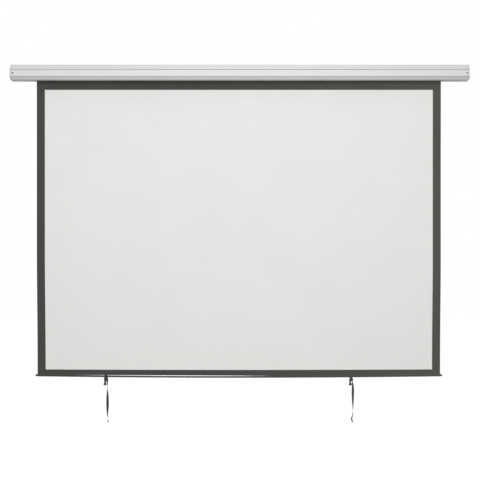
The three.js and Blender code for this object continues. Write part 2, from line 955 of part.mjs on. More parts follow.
// The border is an arch: the cloth's outline round the sides and top, and the picture's on the inside
function borderOutline() {
  const half = clothWidth / 2;
  const inner = half - sideBorder;
  const foot = (side) => {
    const x = side * halfWidthAt(pictureBottom, inner);
    return new THREE.Vector2(x, pictureBottom - pictureSag * sagShare(x));
  };
  return [
    ...sideEdge(-1, half, pictureBottom, axisRise),
    ...sideEdge(1, half, axisRise, pictureBottom),
    foot(1),
    ...sideEdge(1, inner, pictureBottom, pictureTop).slice(1),
    ...sideEdge(-1, inner, pictureTop, pictureBottom).slice(0, -1),
    foot(-1),
  ];
}

// Bends a piece that runs along X down into the bar's curve, fully below z = low and less above it
function bowed(geometry, low, high) {
  const places = geometry.attributes.position;
  const topShare = pictureSag / barSag;
  for (let i = 0; i < places.count; i += 1) {
    const rise = THREE.MathUtils.clamp((places.getZ(i) - low) / (high - low), 0, 1);
    const share = THREE.MathUtils.lerp(1, topShare, rise);
    places.setZ(i, places.getZ(i) - barSag * share * sagShare(places.getX(i)));
  }
  return geometry;
}

// A circle drawn up to an apex, with straight sides that touch the circle
function teardrop(radius, neck = 0) {
  const apex = radius * pocketApexShare;
  const start = Math.PI / 2 - Math.acos(1 / pocketApexShare);
  const sweep = Math.PI + 2 * start;
  const round = Array.from({ length: tearSteps + 1 }, (_, i) => {
    const angle = Math.PI - start + (sweep * i) / tearSteps;
    return point(radius * Math.cos(angle), radius * Math.sin(angle));
  });
  return neck > 0 ? [...round, point(neck, apex), point(-neck, apex)] : [...round, point(0, apex)];
}

// The hem: a strip that widens to the pocket round the rod, with its front in the cloth's plane
function hemPocket() {
  const neck = sheetGauge / 2;
  const top = pictureBottom - clearance - rodHeight;
  const outline = teardrop(pocketOuter, neck);
  outline.splice(-1, 0, point(neck, top), point(-neck, top));
  const bar = prism(outline, -barHalf, 2 * barHalf, [circle(pocketInner, smallSides)], panelSteps);
  const slits = [leftTieShare, rightTieShare].map((share) => {
    const x = tieX(share);
    const half = tapeWidth / 2 + clearance;
    const low = loopInner * pocketApexShare - sheetGauge - clearance;
    const high = loopOuter * pocketApexShare + clearance;
    return block([x - half, -pocketOuter, tieZ(share) + low], [x + half, pocketOuter, tieZ(share) + high]);
  });
  return cut(bowed(bar, pocketOuter * pocketApexShare, top), ...slits);
}

function weightRod() {
  const radius = rodDiameter / 2;
  const bore = circle(radius - rodWall, smallSides);
  const rod = prism(circle(radius, smallSides), -barHalf, 2 * barHalf, [bore], panelSteps);
  return bowed(rod, radius, rodDiameter);
}

// A plug for the rod's end: its flange starts at x = 0 and its spigot points to -X
function rodCap() {
  const radius = rodDiameter / 2;
  const spigot = radius - rodWall - clearance;
  return turnedX(
    [
      [-rodCapSpigot, 0],
      [-rodCapSpigot, spigot],
      [0, spigot],
      [0, radius],
      [rodCapLength / 2, radius],
      [rodCapLength, radius * rodCapTipShare],
      [rodCapLength, 0],
    ],
    smallSides,
  );
}

// The tape's band round the hem
function tieLoop() {
  return prism(teardrop(loopOuter), -tapeWidth / 2, tapeWidth, [teardrop(loopInner)]);
}

// A ribbon down a smooth curve, with level ends: each stop holds x, y, z, the turn in degrees and the width
function ribbon(stops, steps) {
  const [flat, edge] = tapeEdgeShares;
  const outline = [
    [-flat, -1], [flat, -1], [1, -edge], [1, edge],
    [flat, 1], [-flat, 1], [-1, edge], [-1, -edge],
  ].map(([x, y]) => point(x, y));
  const tape = new THREE.ExtrudeGeometry(new THREE.Shape(outline), { depth: 1, steps, bevelEnabled: false });
  const route = new THREE.CatmullRomCurve3(stops.map(([x, y, z]) => new THREE.Vector3(x, y, z)));
  const places = tape.attributes.position;
  for (let i = 0; i < places.count; i += 1) {
    const along = places.getZ(i);
    const first = Math.min(Math.floor(along * (stops.length - 1)), stops.length - 2);
    const past = along * (stops.length - 1) - first;
    const [turn, width] = [3, 4].map((k) =>
      THREE.MathUtils.lerp(stops[first][k], stops[first + 1][k], past),
    );
    const angle = THREE.MathUtils.degToRad(turn);
    const across = (places.getX(i) * width) / 2;
    const through = (places.getY(i) * tapeGauge) / 2;
    const place = route.getPoint(along);
    places.setXYZ(
      i,
      place.x + across * Math.cos(angle) + through * Math.sin(angle),
      place.y + across * Math.sin(angle) - through * Math.cos(angle),
      place.z,
    );
  }
  return tape;
}

// The knot: two legs of tape from the loop down to the tails, held by a flat band round them
function tieKnot(legShares) {
  const legX = knotHalfWidth - tapeGauge / 2 - knotLegWidth / 2;
  const high = -loopOuter - clearance;
  const low = -knotDrop;
  const heights = knotDropShares.map((share) => THREE.MathUtils.lerp(high, low, share));
  const legs = [-1, 1].map((side) =>
    heights.map((z, i) => [side * legShares[i] * legX, (side * tapeGauge) / 3, z, 0, knotLegWidth]),
  );
  const ellipse = (x, y) => circle(1, smallSides).map((spot) => point(spot.x * x, spot.y * y));
  const shape = new THREE.Shape(ellipse(knotHalfWidth, knotHalfDepth));
  shape.holes = [new THREE.Path(ellipse(knotHalfWidth - tapeGauge, knotHalfDepth - tapeGauge))];
  const band = new THREE.ExtrudeGeometry(shape, { depth: knotBandHeight, bevelEnabled: false });
  band.translate(0, 0, (high + low - knotBandHeight) / 2);
  return join(...legs.map((leg) => ribbon(leg, knotSteps)), band);
}

// The short tail: a narrow neck that opens to a cut end
function shortTail(x) {
  const top = -knotDrop - clearance;
  const widths = [knotLegWidth, shortTailNeck, (shortTailNeck + shortTailFoot) / 2, shortTailFoot];
  const stops = widths.map((width, i) => {
    const z = THREE.MathUtils.lerp(top, -shortTailDrop, i / (widths.length - 1));
    return [x, 0, z, 0, width];
  });
  return ribbon(stops, shortTailSteps);
}

function longTail(route) {
  return ribbon(route.map((stop) => [...stop, tapeWidth]), longTailSteps);
}

// The bracket on the wall: a plate with a hook that turns up inside the channel and a flange below
function wallBracket() {
  const back = wallGap + wallBracketGauge;
  const webTop = channelRise + channelMouth / 2 - clearance;
  const webLow = webTop - wallBracketGauge;
  const hookBack = -casingWall - clearance;
  const hookFront = hookBack - wallBracketGauge;
  const hookTop = channelRise + channelWidth / 2 - clearance;
  const flangeTop = -wallBracketDrop + wallBracketGauge;
  const outline = [
    point(back, -wallBracketDrop),
    point(back, wallBracketRise),
    point(wallGap, wallBracketRise),
    point(wallGap, webTop),
    point(hookBack, webTop),
    point(hookBack, hookTop),
    point(hookFront, hookTop),
    point(hookFront, webLow),
    point(wallGap, webLow),
    point(wallGap, flangeTop),
    point(standoff, flangeTop),
    point(standoff, -wallBracketDrop),
  ];
  const wallHoles = [-1, 1].map((side) =>
    drillY(wallHoleRadius, smallSides, wallGap - overrun, back + overrun).translate(
      (side * wallHoleSpacing) / 2,
      0,
      wallHoleRise,
    ),
  );
  const clampHole = drillZ(
    clampShankRadius + clearance,
    screwSides,
    -wallBracketDrop - overrun,
    flangeTop + overrun,
  ).translate(0, clampY, 0);
  return cut(prism(outline, -wallBracketWidth / 2, wallBracketWidth), ...wallHoles, clampHole);
}

// The clamp's jaw, whose lip turns down inside the channel
function bracketJaw() {
  const webLow = channelRise - channelMouth / 2 + clearance;
  const top = webLow + wallBracketGauge;
  const hookBack = -casingWall - clearance;
  const hookFront = hookBack - wallBracketGauge;
  const outline = [
    point(wallGap - clearance, -jawDrop),
    point(wallGap - clearance, top),
    point(hookFront, top),
    point(hookFront, channelRise - channelWidth / 2 + clearance),
    point(hookBack, channelRise - channelWidth / 2 + clearance),
    point(hookBack, webLow),
    point(standoff, webLow),
    point(standoff, -jawDrop),
  ];
  const holeTop = -wallBracketDrop + clampShankLength + clearance;
  const hole = drillZ(clampShankRadius + clearance, screwSides, -jawDrop - overrun, holeTop);
  return cut(prism(outline, -jawWidth / 2, jawWidth), hole.translate(0, clampY, 0));
}

// The clamp screw: its head bears on z = 0 from below and its shank points up
function clampScrew() {
  return turnedZ(
    [
      [-clampHeadHeight, 0],
      [-clampHeadHeight, clampHeadRadius],
      [0, clampHeadRadius],
      [0, clampShankRadius],
      [clampShankLength, clampShankRadius],
      [clampShankLength, 0],
    ],
    screwSides,
  );
}

const screen = new THREE.Group();

function subGroup(parent, ...place) {
  const group = new THREE.Group();
  group.position.set(...place);
  parent.add(group);
  return group;
}

// Casing and what is fixed to it
addTo(screen, "housing", housing(), satinAluminium);
addTo(screen, "left_end_cap", leftEndCap(), greyPlastic, [-casingEnd, 0, 0]);
addTo(screen, "right_end_cap", mirrored(endCap()), greyPlastic, [casingEnd, 0, 0]);
addTo(screen, "cable_bush", cableBush(), blackRubber, [-casingEnd, -bushSetback, -bushDrop]);
for (const { name, x, z, side } of screwPlaces()) {
  if (side < 0) addTo(screen, name, panScrew(), blackSteel, [x, frontY, z]);
  else addTo(screen, name, flatScrew(), zincSteel, [x, 0, z]);
}

// Roller brackets and the terminal box, level with the casing and centred on the roller
const mounts = subGroup(screen, rollerOffset, 0, 0);
addTo(mounts, "motor_bracket", motorBracket(), zincSteel, [-motorPlateNear, 0, 0]);
addTo(mounts, "idler_bracket", idlerBracket(), zincSteel, [idlerPlateNear, 0, 0]);
addTo(mounts, "terminal_box", terminalBox(), whitePlastic);
addTo(mounts, "motor_lead", motorLead(), blackRubber);

// Fixed pieces on the roller's axis
const axis = subGroup(screen, rollerOffset, -axisSetback, axisRise);
addTo(axis, "motor_head", motorHead(), blackPlastic, [-headFar, 0, 0]);
addTo(axis, "motor_pin", motorPin(), brightSteel, [-headFar, 0, 0]);
addTo(axis, "retaining_clip", retainingClip(), brightSteel, [-motorPlateFar - clearance, 0, 0]);
addTo(axis, "motor_case", motorCase(), zincSteel, [-headNear, 0, 0]);
addTo(axis, "idler_bush", idlerBush(), whitePlastic, [idlerPlateNear, 0, 0]);
const limitY = axisSetback - adjusterSetback;
const limitZ = -axisRise - adjusterDrop - limitScrewStandout;
const limitScrews = [["up_limit_screw", -1, yellowPlastic], ["down_limit_screw", 1, whitePlastic]];
for (const [name, side, material] of limitScrews) {
  const x = -headFar + headLength / 2 + (side * limitScrewSpacing) / 2;
  addTo(axis, name, limitScrew(), material, [x, limitY, limitZ]);
}

// Roller
const roller = subGroup(screen, rollerOffset, -axisSetback, axisRise);
const tubeInner = tubeRadius - tubeWall;
const shaftStart = motorLength - headNear + clearance;
const wrap = sleeve(wrapOuter, wrapInner, -clothWidth / 2, clothWidth, roundSides);
addTo(roller, "roller_tube", sleeve(tubeRadius, tubeInner, -tubeEnd, 2 * tubeEnd, roundSides), zincSteel);
addTo(roller, "cloth_wrap", wrap, blackCloth);
addTo(roller, "crown_ring", crownRing(), blackPlastic, [-tubeEnd, 0, 0]);
addTo(roller, "output_shaft", outputShaft(), brightSteel, [shaftStart, 0, 0]);
addTo(roller, "drive_wheel", driveWheel(), blackPlastic, [shaftStart + wheelSetoff, 0, 0]);
addTo(roller, "idler_plug", idlerPlug(), blackPlastic, [tubeEnd, 0, 0]);
addTo(roller, "idler_pin", idlerPin(), brightSteel, [tubeEnd, 0, 0]);

// Cloth that hangs from the roller, in three layers
const panel = subGroup(screen, rollerOffset, sheetFront, 0);
addTo(panel, "mask_border", sheet(borderOutline(), printGauge), blackPrint);
addTo(panel, "screen_cloth", sheet(clothOutline(), clothGauge), whiteCloth, [0, printGauge, 0]);
const backingPlace = [0, printGauge + clothGauge, 0];
addTo(panel, "black_backing", sheet(clothOutline(), backingGauge), blackCloth, backingPlace);

// Weight bar
const bar = subGroup(screen, rollerOffset, sheetMiddle, rodHeight);
const endTilt = Math.atan((2 * barSag) / barHalf);
addTo(bar, "hem_pocket", hemPocket(), blackPrint);
addTo(bar, "weight_rod", weightRod(), zincSteel);
addTo(bar, "right_rod_cap", rodCap(), blackPlastic, [barHalf + clearance, 0, 0], [0, -endTilt, 0]);
addTo(bar, "left_rod_cap", rodCap(), blackPlastic, [-barHalf - clearance, 0, 0], [0, Math.PI + endTilt, 0]);

// Tapes
for (const { word, share, legShares, footX, route } of ties) {
  const tie = subGroup(bar, tieX(share), 0, tieZ(share));
  addTo(tie, `${word}_tie_loop`, tieLoop(), blackTape);
  addTo(tie, `${word}_tie_knot`, tieKnot(legShares), blackTape);
  addTo(tie, `${word}_tie_short_tail`, shortTail(footX), blackTape);
  addTo(tie, `${word}_tie_long_tail`, longTail(route), blackTape);
}

// Wall brackets
for (const [word, side] of [["left", -1], ["right", 1]]) {
  const place = subGroup(screen, side * bracketPlaceShare * casingEnd, 0, 0);
  addTo(place, `${word}_wall_bracket`, wallBracket(), zincSteel);
  addTo(place, `${word}_bracket_jaw`, bracketJaw(), satinAluminium);
  addTo(place, `${word}_clamp_screw`, clampScrew(), brightSteel, [0, clampY, -wallBracketDrop]);
}

export default screen;
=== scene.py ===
"""Dresses an electric projection screen: its shells, cloth, tapes, finishes and a plain studio.

Everything is in metres. +X runs along the casing to the viewer's right, -Y faces the viewer and +Z is up.
"""

from __future__ import annotations

import json
import logging
import math
from dataclasses import dataclass
from enum import Enum
from typing import Sequence

import bmesh
import bpy
import numpy as np
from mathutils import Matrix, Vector

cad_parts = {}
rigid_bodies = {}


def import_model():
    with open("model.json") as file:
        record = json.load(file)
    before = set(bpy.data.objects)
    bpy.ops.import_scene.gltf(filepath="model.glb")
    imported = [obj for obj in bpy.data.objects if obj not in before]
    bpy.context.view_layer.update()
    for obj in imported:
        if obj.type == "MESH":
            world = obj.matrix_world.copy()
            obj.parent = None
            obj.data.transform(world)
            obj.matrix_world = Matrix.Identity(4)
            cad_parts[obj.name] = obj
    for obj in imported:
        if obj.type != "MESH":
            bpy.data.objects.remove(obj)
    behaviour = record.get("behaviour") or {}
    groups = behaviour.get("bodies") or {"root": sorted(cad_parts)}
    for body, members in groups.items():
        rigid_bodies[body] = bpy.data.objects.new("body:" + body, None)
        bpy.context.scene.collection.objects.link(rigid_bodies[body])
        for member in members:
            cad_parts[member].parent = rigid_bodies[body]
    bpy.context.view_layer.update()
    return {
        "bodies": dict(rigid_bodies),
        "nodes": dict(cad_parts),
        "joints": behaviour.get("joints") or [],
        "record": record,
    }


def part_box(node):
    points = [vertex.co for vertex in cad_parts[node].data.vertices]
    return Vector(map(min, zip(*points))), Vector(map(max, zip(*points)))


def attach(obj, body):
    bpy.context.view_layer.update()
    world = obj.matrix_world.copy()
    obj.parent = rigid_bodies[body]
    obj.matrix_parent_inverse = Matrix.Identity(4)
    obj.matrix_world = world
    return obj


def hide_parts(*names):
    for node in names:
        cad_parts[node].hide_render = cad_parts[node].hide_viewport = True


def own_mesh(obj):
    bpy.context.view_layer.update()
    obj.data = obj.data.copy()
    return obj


Array = np.ndarray
Pair = tuple[float, float]
Triple = tuple[float, float, float]
Corner = Triple
Colour = Triple
Socket = bpy.types.NodeSocket
Inputs = dict[str | int, object]

LOG = logging.getLogger("projection_screen")
TURN = 2.0 * math.pi
QUARTER = math.pi / 2.0

# How near points are merged, how sharp an edge stays one, how far it is eased and what counts as flat
WELD = 2e-6
CREASE = math.radians(32)
EASE = 0.00025
FLAT = math.radians(0.5)

# Where along X the painted sheen starts to lighten the black print and the tapes, and where it stops
PAINTED_SHEEN_SPAN = (-0.1, 0.95)

# The thickness of the casing's wall, and the play between pieces that slide on each other
CASING_WALL = 0.0022
PLAY = 0.0003

# The middle height of the casing's two front grooves, their distance from it, half their width, and the
# depths of their mouth, their floor and the end of the front face; they bound the shade painted into the
# grooves
GROOVE_MIDDLE, GROOVE_AWAY, GROOVE_HALF = -0.0067, 0.0171, 0.00135
GROOVE_MOUTH, GROOVE_FLOOR, FACE_END = -0.0799, -0.0793, -0.078


class Axis(Enum):
    """The axis that a turned piece goes round."""

    X = 0
    Y = 1
    Z = 2


class Drive(Enum):
    """The shape that a driver fits in a screw's head."""

    CROSS = "cross"
    HEX = "hex"


class Place(Enum):
    """Where a pattern takes its coordinates from."""

    OBJECT = "Object"
    SURFACE = "UV"


def unit(vectors: Array) -> Array:
    """Scales each vector of an array to a length of one.

    Args:
        vectors: vectors along the last axis.

    Returns:
        The same directions, each one long.
    """
    length = np.linalg.norm(vectors, axis=-1, keepdims=True)
    return vectors / np.maximum(length, 1e-12)


def smooth(value: Array, low: float, high: float) -> Array:
    """Rises from 0 at low to 1 at high as 3t^2 - 2t^3, t being the share of the way.

    Args:
        value: the places to judge.
        low: where the rise starts.
        high: where the rise ends.

    Returns:
        A share between 0 and 1 for each place.
    """
    share = np.clip((np.asarray(value, dtype=float) - low) / (high - low), 0.0, 1.0)
    return share * share * (3.0 - 2.0 * share)


def circle(angle: Array) -> Array:
    """Gives the point of the unit circle at each angle: its cosine and its sine."""
    return np.stack([np.cos(angle), np.sin(angle)], axis=-1)


def quarter(radius: float, steps: int) -> list[Pair]:
    """Runs a quarter circle from a face to its side.

    The inset is the radius times 1 - sine of the angle, and the depth the radius times 1 - cosine.

    Args:
        radius: the circle's radius.
        steps: how many points it has.

    Returns:
        The inset and the depth of each point.
    """
    turn = np.linspace(0.0, QUARTER, steps)
    return [(radius * (1 - math.sin(t)), radius * (1 - math.cos(t))) for t in turn]


def rounded(corners: Sequence[Corner] | Array, steps: int = 5, closed: bool = True) -> Array:
    """Rounds each corner of an outline with an arc that touches both its sides.

    An arc's centre lies on the corner's bisector, its radius over the sine of half the corner's angle away,
    and the radius shrinks where a side is too short for it.

    Args:
        corners: the two coordinates and the radius of each corner.
        steps: how many chords each arc has.
        closed: whether the last corner joins the first; an open outline keeps its two ends.

    Returns:
        The outline's points, steps + 1 for each corner.
    """
    table = np.asarray(corners, dtype=float)
    at = table[:, :2]
    back = np.roll(at, 1, axis=0) - at
    onward = np.roll(at, -1, axis=0) - at
    room = 0.49 * np.minimum(np.linalg.norm(back, axis=1), np.linalg.norm(onward, axis=1))
    back, onward = unit(back), unit(onward)
    half = np.arccos(np.clip((back * onward).sum(axis=1), -1.0, 1.0)) / 2.0
    touch = np.minimum(table[:, 2] / np.tan(half), room)
    if not closed:
        touch[[0, -1]] = 0.0
    radius = touch * np.tan(half)
    centre = at + unit(back + onward) * (radius / np.sin(half))[:, None]
    start = at + back * touch[:, None] - centre
    end = at + onward * touch[:, None] - centre
    first = np.arctan2(start[:, 1], start[:, 0])
    turn = np.arctan2(end[:, 1], end[:, 0]) - first
    turn = (turn + math.pi) % TURN - math.pi
    angle = first[:, None] + turn[:, None] * np.linspace(0.0, 1.0, steps + 1)
    return (circle(angle) * radius[:, None, None] + centre[:, None]).reshape(-1, 2)


def inset(corners: Sequence[Corner] | Array, distance: float) -> Array:
    """Moves every side of a closed outline inwards by the same distance.

    Each corner slides along the sum of its sides' inward normals, over one plus their dot product. Corners
    that point outwards get a radius smaller by the distance, and hollow ones a larger radius.

    Args:
        corners: the two coordinates and the radius of each corner.
        distance: how far the sides move.

    Returns:
        The corners of the smaller outline.
    """
    table = np.asarray(corners, dtype=float)
    at = table[:, :2]
    after = np.roll(at, -1, axis=0)
    area = (at[:, 0] * after[:, 1] - at[:, 1] * after[:, 0]).sum()
    sense = math.copysign(1.0, area)
    onward = unit(after - at)
    along = np.roll(onward, 1, axis=0)
    first = sense * np.stack([-along[:, 1], along[:, 0]], axis=1)
    second = sense * np.stack([-onward[:, 1], onward[:, 0]], axis=1)
    shift = distance / (1.0 + (first * second).sum(axis=1))
    moved = at + (first + second) * shift[:, None]
    outward = sense * (along[:, 0] * onward[:, 1] - along[:, 1] * onward[:, 0]) > 0.0
    radius = np.where(outward, table[:, 2] - distance, table[:, 2] + distance)
    return np.column_stack([moved, np.maximum(radius, 0.0)])


def at_x(outline: Array, x: float) -> Array:
    """Stands an outline of (y, z) points in the plane of one x."""
    return np.column_stack([np.full(len(outline), x), outline])


def oblong(low: Pair, high: Pair, radius: float) -> list[Corner]:
    """Lists the four corners of an upright oblong, each with the same radius."""
    ends = [(low[0], low[1]), (high[0], low[1]), (high[0], high[1]), (low[0], high[1])]
    return [(*end, radius) for end in ends]


def loft(rings: Sequence[Array]) -> Array:
    """Stacks closed rings into a grid whose last column repeats the first."""
    stack = np.stack(rings)
    return np.concatenate([stack, stack[:, :1]], axis=1)


def spun(level: Array, radius: Array, centre: Triple, axis: Axis, sides: int) -> Array:
    """Spins rings round an axis: the radius times cosine and sine of the angle lies across it.

    Args:
        level: places along the axis, in one column or in one for each step.
        radius: distances from the axis, likewise.
        centre: the point that the places along the axis are counted from.
        axis: the axis to go round.
        sides: how many steps a full turn has.

    Returns:
        A grid with a row for each ring.
    """
    angle = np.linspace(0.0, TURN, sides + 1)
    grid = np.empty((len(level), sides + 1, 3))
    grid[..., axis.value] = level
    grid[..., (axis.value + 1) % 3] = radius * np.cos(angle)
    grid[..., (axis.value + 2) % 3] = radius * np.sin(angle)
    return grid + np.asarray(centre)


def turned(profile: Array, centre: Triple, axis: Axis, sides: int = 64) -> Array:
    """Turns a profile of (place along the axis, radius) pairs round the axis."""
    return spun(profile[:, :1], profile[:, 1:2], centre, axis, sides)


def hole(stations: Sequence[Pair], centre: Triple, axis: Axis) -> Array:
    """Gives the closed surface of a stepped round hole.

    Args:
        stations: the place along the axis and the radius of each step, from one end to the other.
        centre: the point that the places along the axis are counted from.
        axis: the hole's axis.

    Returns:
        The grid of the hole, closed on the axis at both ends.
    """
    ends = [(stations[0][0], 0.0), (stations[-1][0], 0.0)]
    return turned(np.array([ends[0], *stations, ends[1]]), centre, axis)


def spline(stops: Array, count: int) -> Array:
    """Runs a smooth curve through stops: each stretch is a cubic whose slopes come from its neighbours.

    Args:
        stops: one row for each stop, with any number of columns.
        count: how many rows the curve has.

    Returns:
        The curve's rows, the first and last equal to the first and last stop.
    """
    stops = np.asarray(stops, dtype=float)
    padded = np.concatenate([2.0 * stops[:1] - stops[1:2], stops, 2.0 * stops[-1:] - stops[-2:-1]])
    place = np.linspace(0.0, len(stops) - 1.0, count)
    first = np.minimum(place.astype(int), len(stops) - 2)
    t = (place - first)[:, None]
    a, b, c, d = (padded[first + k] for k in range(4))
    slope, bend, twist = c - a, 2.0 * a - 5.0 * b + 4.0 * c - d, 3.0 * b - a - 3.0 * c + d
    return 0.5 * (2.0 * b + slope * t + bend * t**2 + twist * t**3)


def cells(index: Array) -> Array:
    """Gives the four point numbers of each cell of a grid of points."""
    return np.stack([index[:-1, :-1], index[1:, :-1], index[1:, 1:], index[:-1, 1:]], axis=-1)


class Shell:
    """The closed surface of one piece, gathered from grids and flat lids before it becomes a mesh."""

    def __init__(self) -> None:
        """Starts with no surface."""
        self.points: list[Array] = []
        self.places: list[Array] = []
        self.quads: list[Array] = []
        self.lids: list[Array] = []
        self.count = 0

    def _keep(self, points: Array, places: Array) -> Array:
        """Stores the points of a stretch.

        Args:
            points: points along the last axis.
            places: a texture place for each point.

        Returns:
            The number of each point, shaped as the points are.
        """
        index = self.count + np.arange(points[..., 0].size).reshape(points.shape[:-1])
        self.points.append(points.reshape(-1, 3))
        self.places.append(places.reshape(-1, 2))
        self.count += points[..., 0].size
        return index

    def grid(self, points: Array) -> Shell:
        """Adds a grid; a point's texture place is its distance along its row and down its column.

        Args:
            points: rows by columns by three coordinates.

        Returns:
            The shell itself.
        """
        places = np.zeros(points.shape[:2] + (2,))
        places[:, 1:, 0] = np.cumsum(np.linalg.norm(np.diff(points, axis=1), axis=2), axis=1)
        places[1:, :, 1] = np.cumsum(np.linalg.norm(np.diff(points, axis=0), axis=2), axis=0)
        self.quads.append(cells(self._keep(points, places)).reshape(-1, 4))
        return self

    def lid(self, ring: Array) -> Shell:
        """Closes a flat ring of points with one face; the texture place is the ring's own y and z."""
        self.lids.append(self._keep(ring, ring[:, 1:]))
        return self

    def column(self, rings: Sequence[Array]) -> Shell:
        """Adds a skin over closed rings, with a lid on the first and on the last."""
        return self.grid(loft(rings)).lid(rings[0]).lid(rings[-1])

    def walls(self, outer: Array, inner: Array, ends: bool = True) -> Shell:
        """Adds two grids of one size as the two sides of a wall.

        Args:
            outer: one side.
            inner: the other side.
            ends: whether their first rows and their last rows are joined.

        Returns:
            The shell itself.
        """
        self.grid(outer).grid(inner)
        for end in (0, -1) if ends else ():
            self.grid(np.stack([outer[end], inner[end]]))
        return self

    def slab(self, front: Array, back: Array, kept: Array | None = None) -> Shell:
        """Adds a sheet between two grids, closed along every edge of the cells that are kept.

        Args:
            front: the grid of its front.
            back: the grid of its back.
            kept: which cells belong to it; all of them where it is left out.

        Returns:
            The shell itself.
        """
        kept = np.ones((front.shape[0] - 1, front.shape[1] - 1), bool) if kept is None else kept
        near = self._keep(front, front[..., [0, 2]])
        far = self._keep(back, back[..., [0, 2]])
        self.quads += [cells(face)[kept] for face in (near, far)]
        padded = np.pad(kept, 1)
        level = padded[:-1, 1:-1] != padded[1:, 1:-1]
        upright = padded[1:-1, :-1] != padded[1:-1, 1:]
        self.quads.append(np.stack([near[:, :-1], near[:, 1:], far[:, 1:], far[:, :-1]], axis=-1)[level])
        self.quads.append(np.stack([near[:-1], near[1:], far[1:], far[:-1]], axis=-1)[upright])
        return self

    def ribbon(
        self, path: Array, side: Array, width: Array | float, gauge: float, columns: int = 15
    ) -> Shell:
        """Adds a tape down a path, its edges rounded: half the gauge times the root of 1 - share^8.

        Args:
            path: the points of the tape's middle.
            side: the direction across the tape at each point.
            width: the tape's width, alike or for each point.
            gauge: the tape's thickness.
            columns: how many points each of its faces has across.

        Returns:
            The shell itself.
        """
        closed = bool(np.allclose(path[0], path[-1]))
        before, after = path[-2:-1], path[1:2]
        if not closed:
            before, after = 2 * path[:1] - path[1:2], 2 * path[-1:] - path[-2:-1]
        along = np.gradient(np.concatenate([before, path, after]), axis=0)[1:-1]
        normal = unit(np.cross(along, side))
        share = np.sin(np.linspace(-QUARTER, QUARTER, columns))
        across = np.multiply.outer(np.broadcast_to(width, len(path)) / 2.0, share)
        middle_line = path[:, None] + side[:, None] * across[..., None]
        lift = normal[:, None] * (gauge / 2.0 * np.sqrt(1.0 - share**8))[:, None]
        return self.walls(middle_line + lift, middle_line - lift, not closed)

    def mesh(self, name: str) -> bpy.types.Mesh:
        """Turns the shell into a mesh: doubles merged and faces outwards.

        Args:
            name: the mesh's name.

        Returns:
            The new mesh, with the texture places as its UV map.
        """
        points, places = np.concatenate(self.points), np.concatenate(self.places)
        corners = np.concatenate([quads.ravel() for quads in self.quads] + self.lids)
        used, corners = np.unique(corners, return_inverse=True)
        sizes = [4] * sum(map(len, self.quads)) + [len(lid) for lid in self.lids]
        faces = np.split(corners, np.cumsum(sizes)[:-1])
        mesh = bpy.data.meshes.new(name)
        mesh.from_pydata(points[used].tolist(), [], [face.tolist() for face in faces])
        layer = mesh.uv_layers.new(name="surface")
        layer.data.foreach_set("uv", places[used][corners].ravel())
        body = bmesh.new()
        body.from_mesh(mesh)
        bmesh.ops.remove_doubles(body, verts=body.verts, dist=WELD)
        bmesh.ops.recalc_face_normals(body, faces=body.faces)
        if body.calc_volume(signed=True) < 0.0:
            bmesh.ops.reverse_faces(body, faces=body.faces)
        body.to_mesh(mesh)
        body.free()
        return mesh


def bored(piece: bpy.types.Object, holes: Shell) -> None:
    """Cuts closed shells out of a piece and keeps the cut mesh.

    Args:
        piece: the object to cut.
        holes: the shells to take away.
    """
    cutter = bpy.data.objects.new("cutter", holes.mesh("cutter"))
    bpy.context.scene.collection.objects.link(cutter)
    modifier = piece.modifiers.new("holes", "BOOLEAN")
    modifier.operation = "DIFFERENCE"
    modifier.solver = "MANIFOLD"
    modifier.object = cutter
    whole = piece.data
    graph = bpy.context.evaluated_depsgraph_get()
    piece.data = bpy.data.meshes.new_from_object(piece.evaluated_get(graph))
    piece.modifiers.clear()
    bpy.data.objects.remove(cutter)
    bpy.data.meshes.remove(whole)


def joined(piece: bpy.types.Object, shells: Shell) -> None:
    """Adds closed shells to a piece's mesh as they are.

    Args:
        piece: the object to add them to.
        shells: the shells that it gets.
    """
    added = shells.mesh("added")
    body = bmesh.new()
    body.from_mesh(piece.data)
    body.from_mesh(added)
    body.to_mesh(piece.data)
    body.free()
    bpy.data.meshes.remove(added)


class Nodes:
    """A node tree, with short calls that add nodes and join them."""

    def __init__(self, tree: bpy.types.NodeTree) -> None:
        """Takes a tree to build in.

        Args:
            tree: the node tree.
        """
        self.tree = tree

    def node(self, kind: str, inputs: Inputs, output: str | int = 0, **settings: object) -> Socket:
        """Adds a node.

        Args:
            kind: the node's type.
            inputs: a value or a socket for each input to set.
            output: the output that is wanted.
            settings: the node's own properties.

        Returns:
            The wanted output socket.
        """
        node = self.tree.nodes.new(kind)
        for key, value in settings.items():
            setattr(node, key, value)
        for key, value in inputs.items():
            if isinstance(value, Socket):
                self.tree.links.new(value, node.inputs[key])
            else:
                node.inputs[key].default_value = value
        return node.outputs[output]

    def sums(self, operation: str, first: object, second: object = 0.0) -> Socket:
        """Works out one sum of two values or sockets."""
        return self.node("ShaderNodeMath", {0: first, 1: second}, operation=operation)

    def span(self, value: Socket, low: float, high: float, start: float = 0.3, end: float = 0.7) -> Socket:
        """Maps a stretch of a pattern, its middle if not told, to the span from low to high."""
        inputs = {"Value": value, "From Min": start, "From Max": end, "To Min": low, "To Max": high}
        return self.node("ShaderNodeMapRange", inputs)

    def direct_rays(self) -> Socket:
        """Tells camera, glossy and transmission rays from the rest: the largest of the three.

        Returns:
            A socket that is 1 for such a ray and 0 for any other.
        """
        rays = self.node("ShaderNodeLightPath", {}).node
        value = rays.outputs["Is Camera Ray"]
        for word in ("Is Glossy Ray", "Is Transmission Ray"):
            value = self.sums("MAXIMUM", value, rays.outputs[word])
        return value


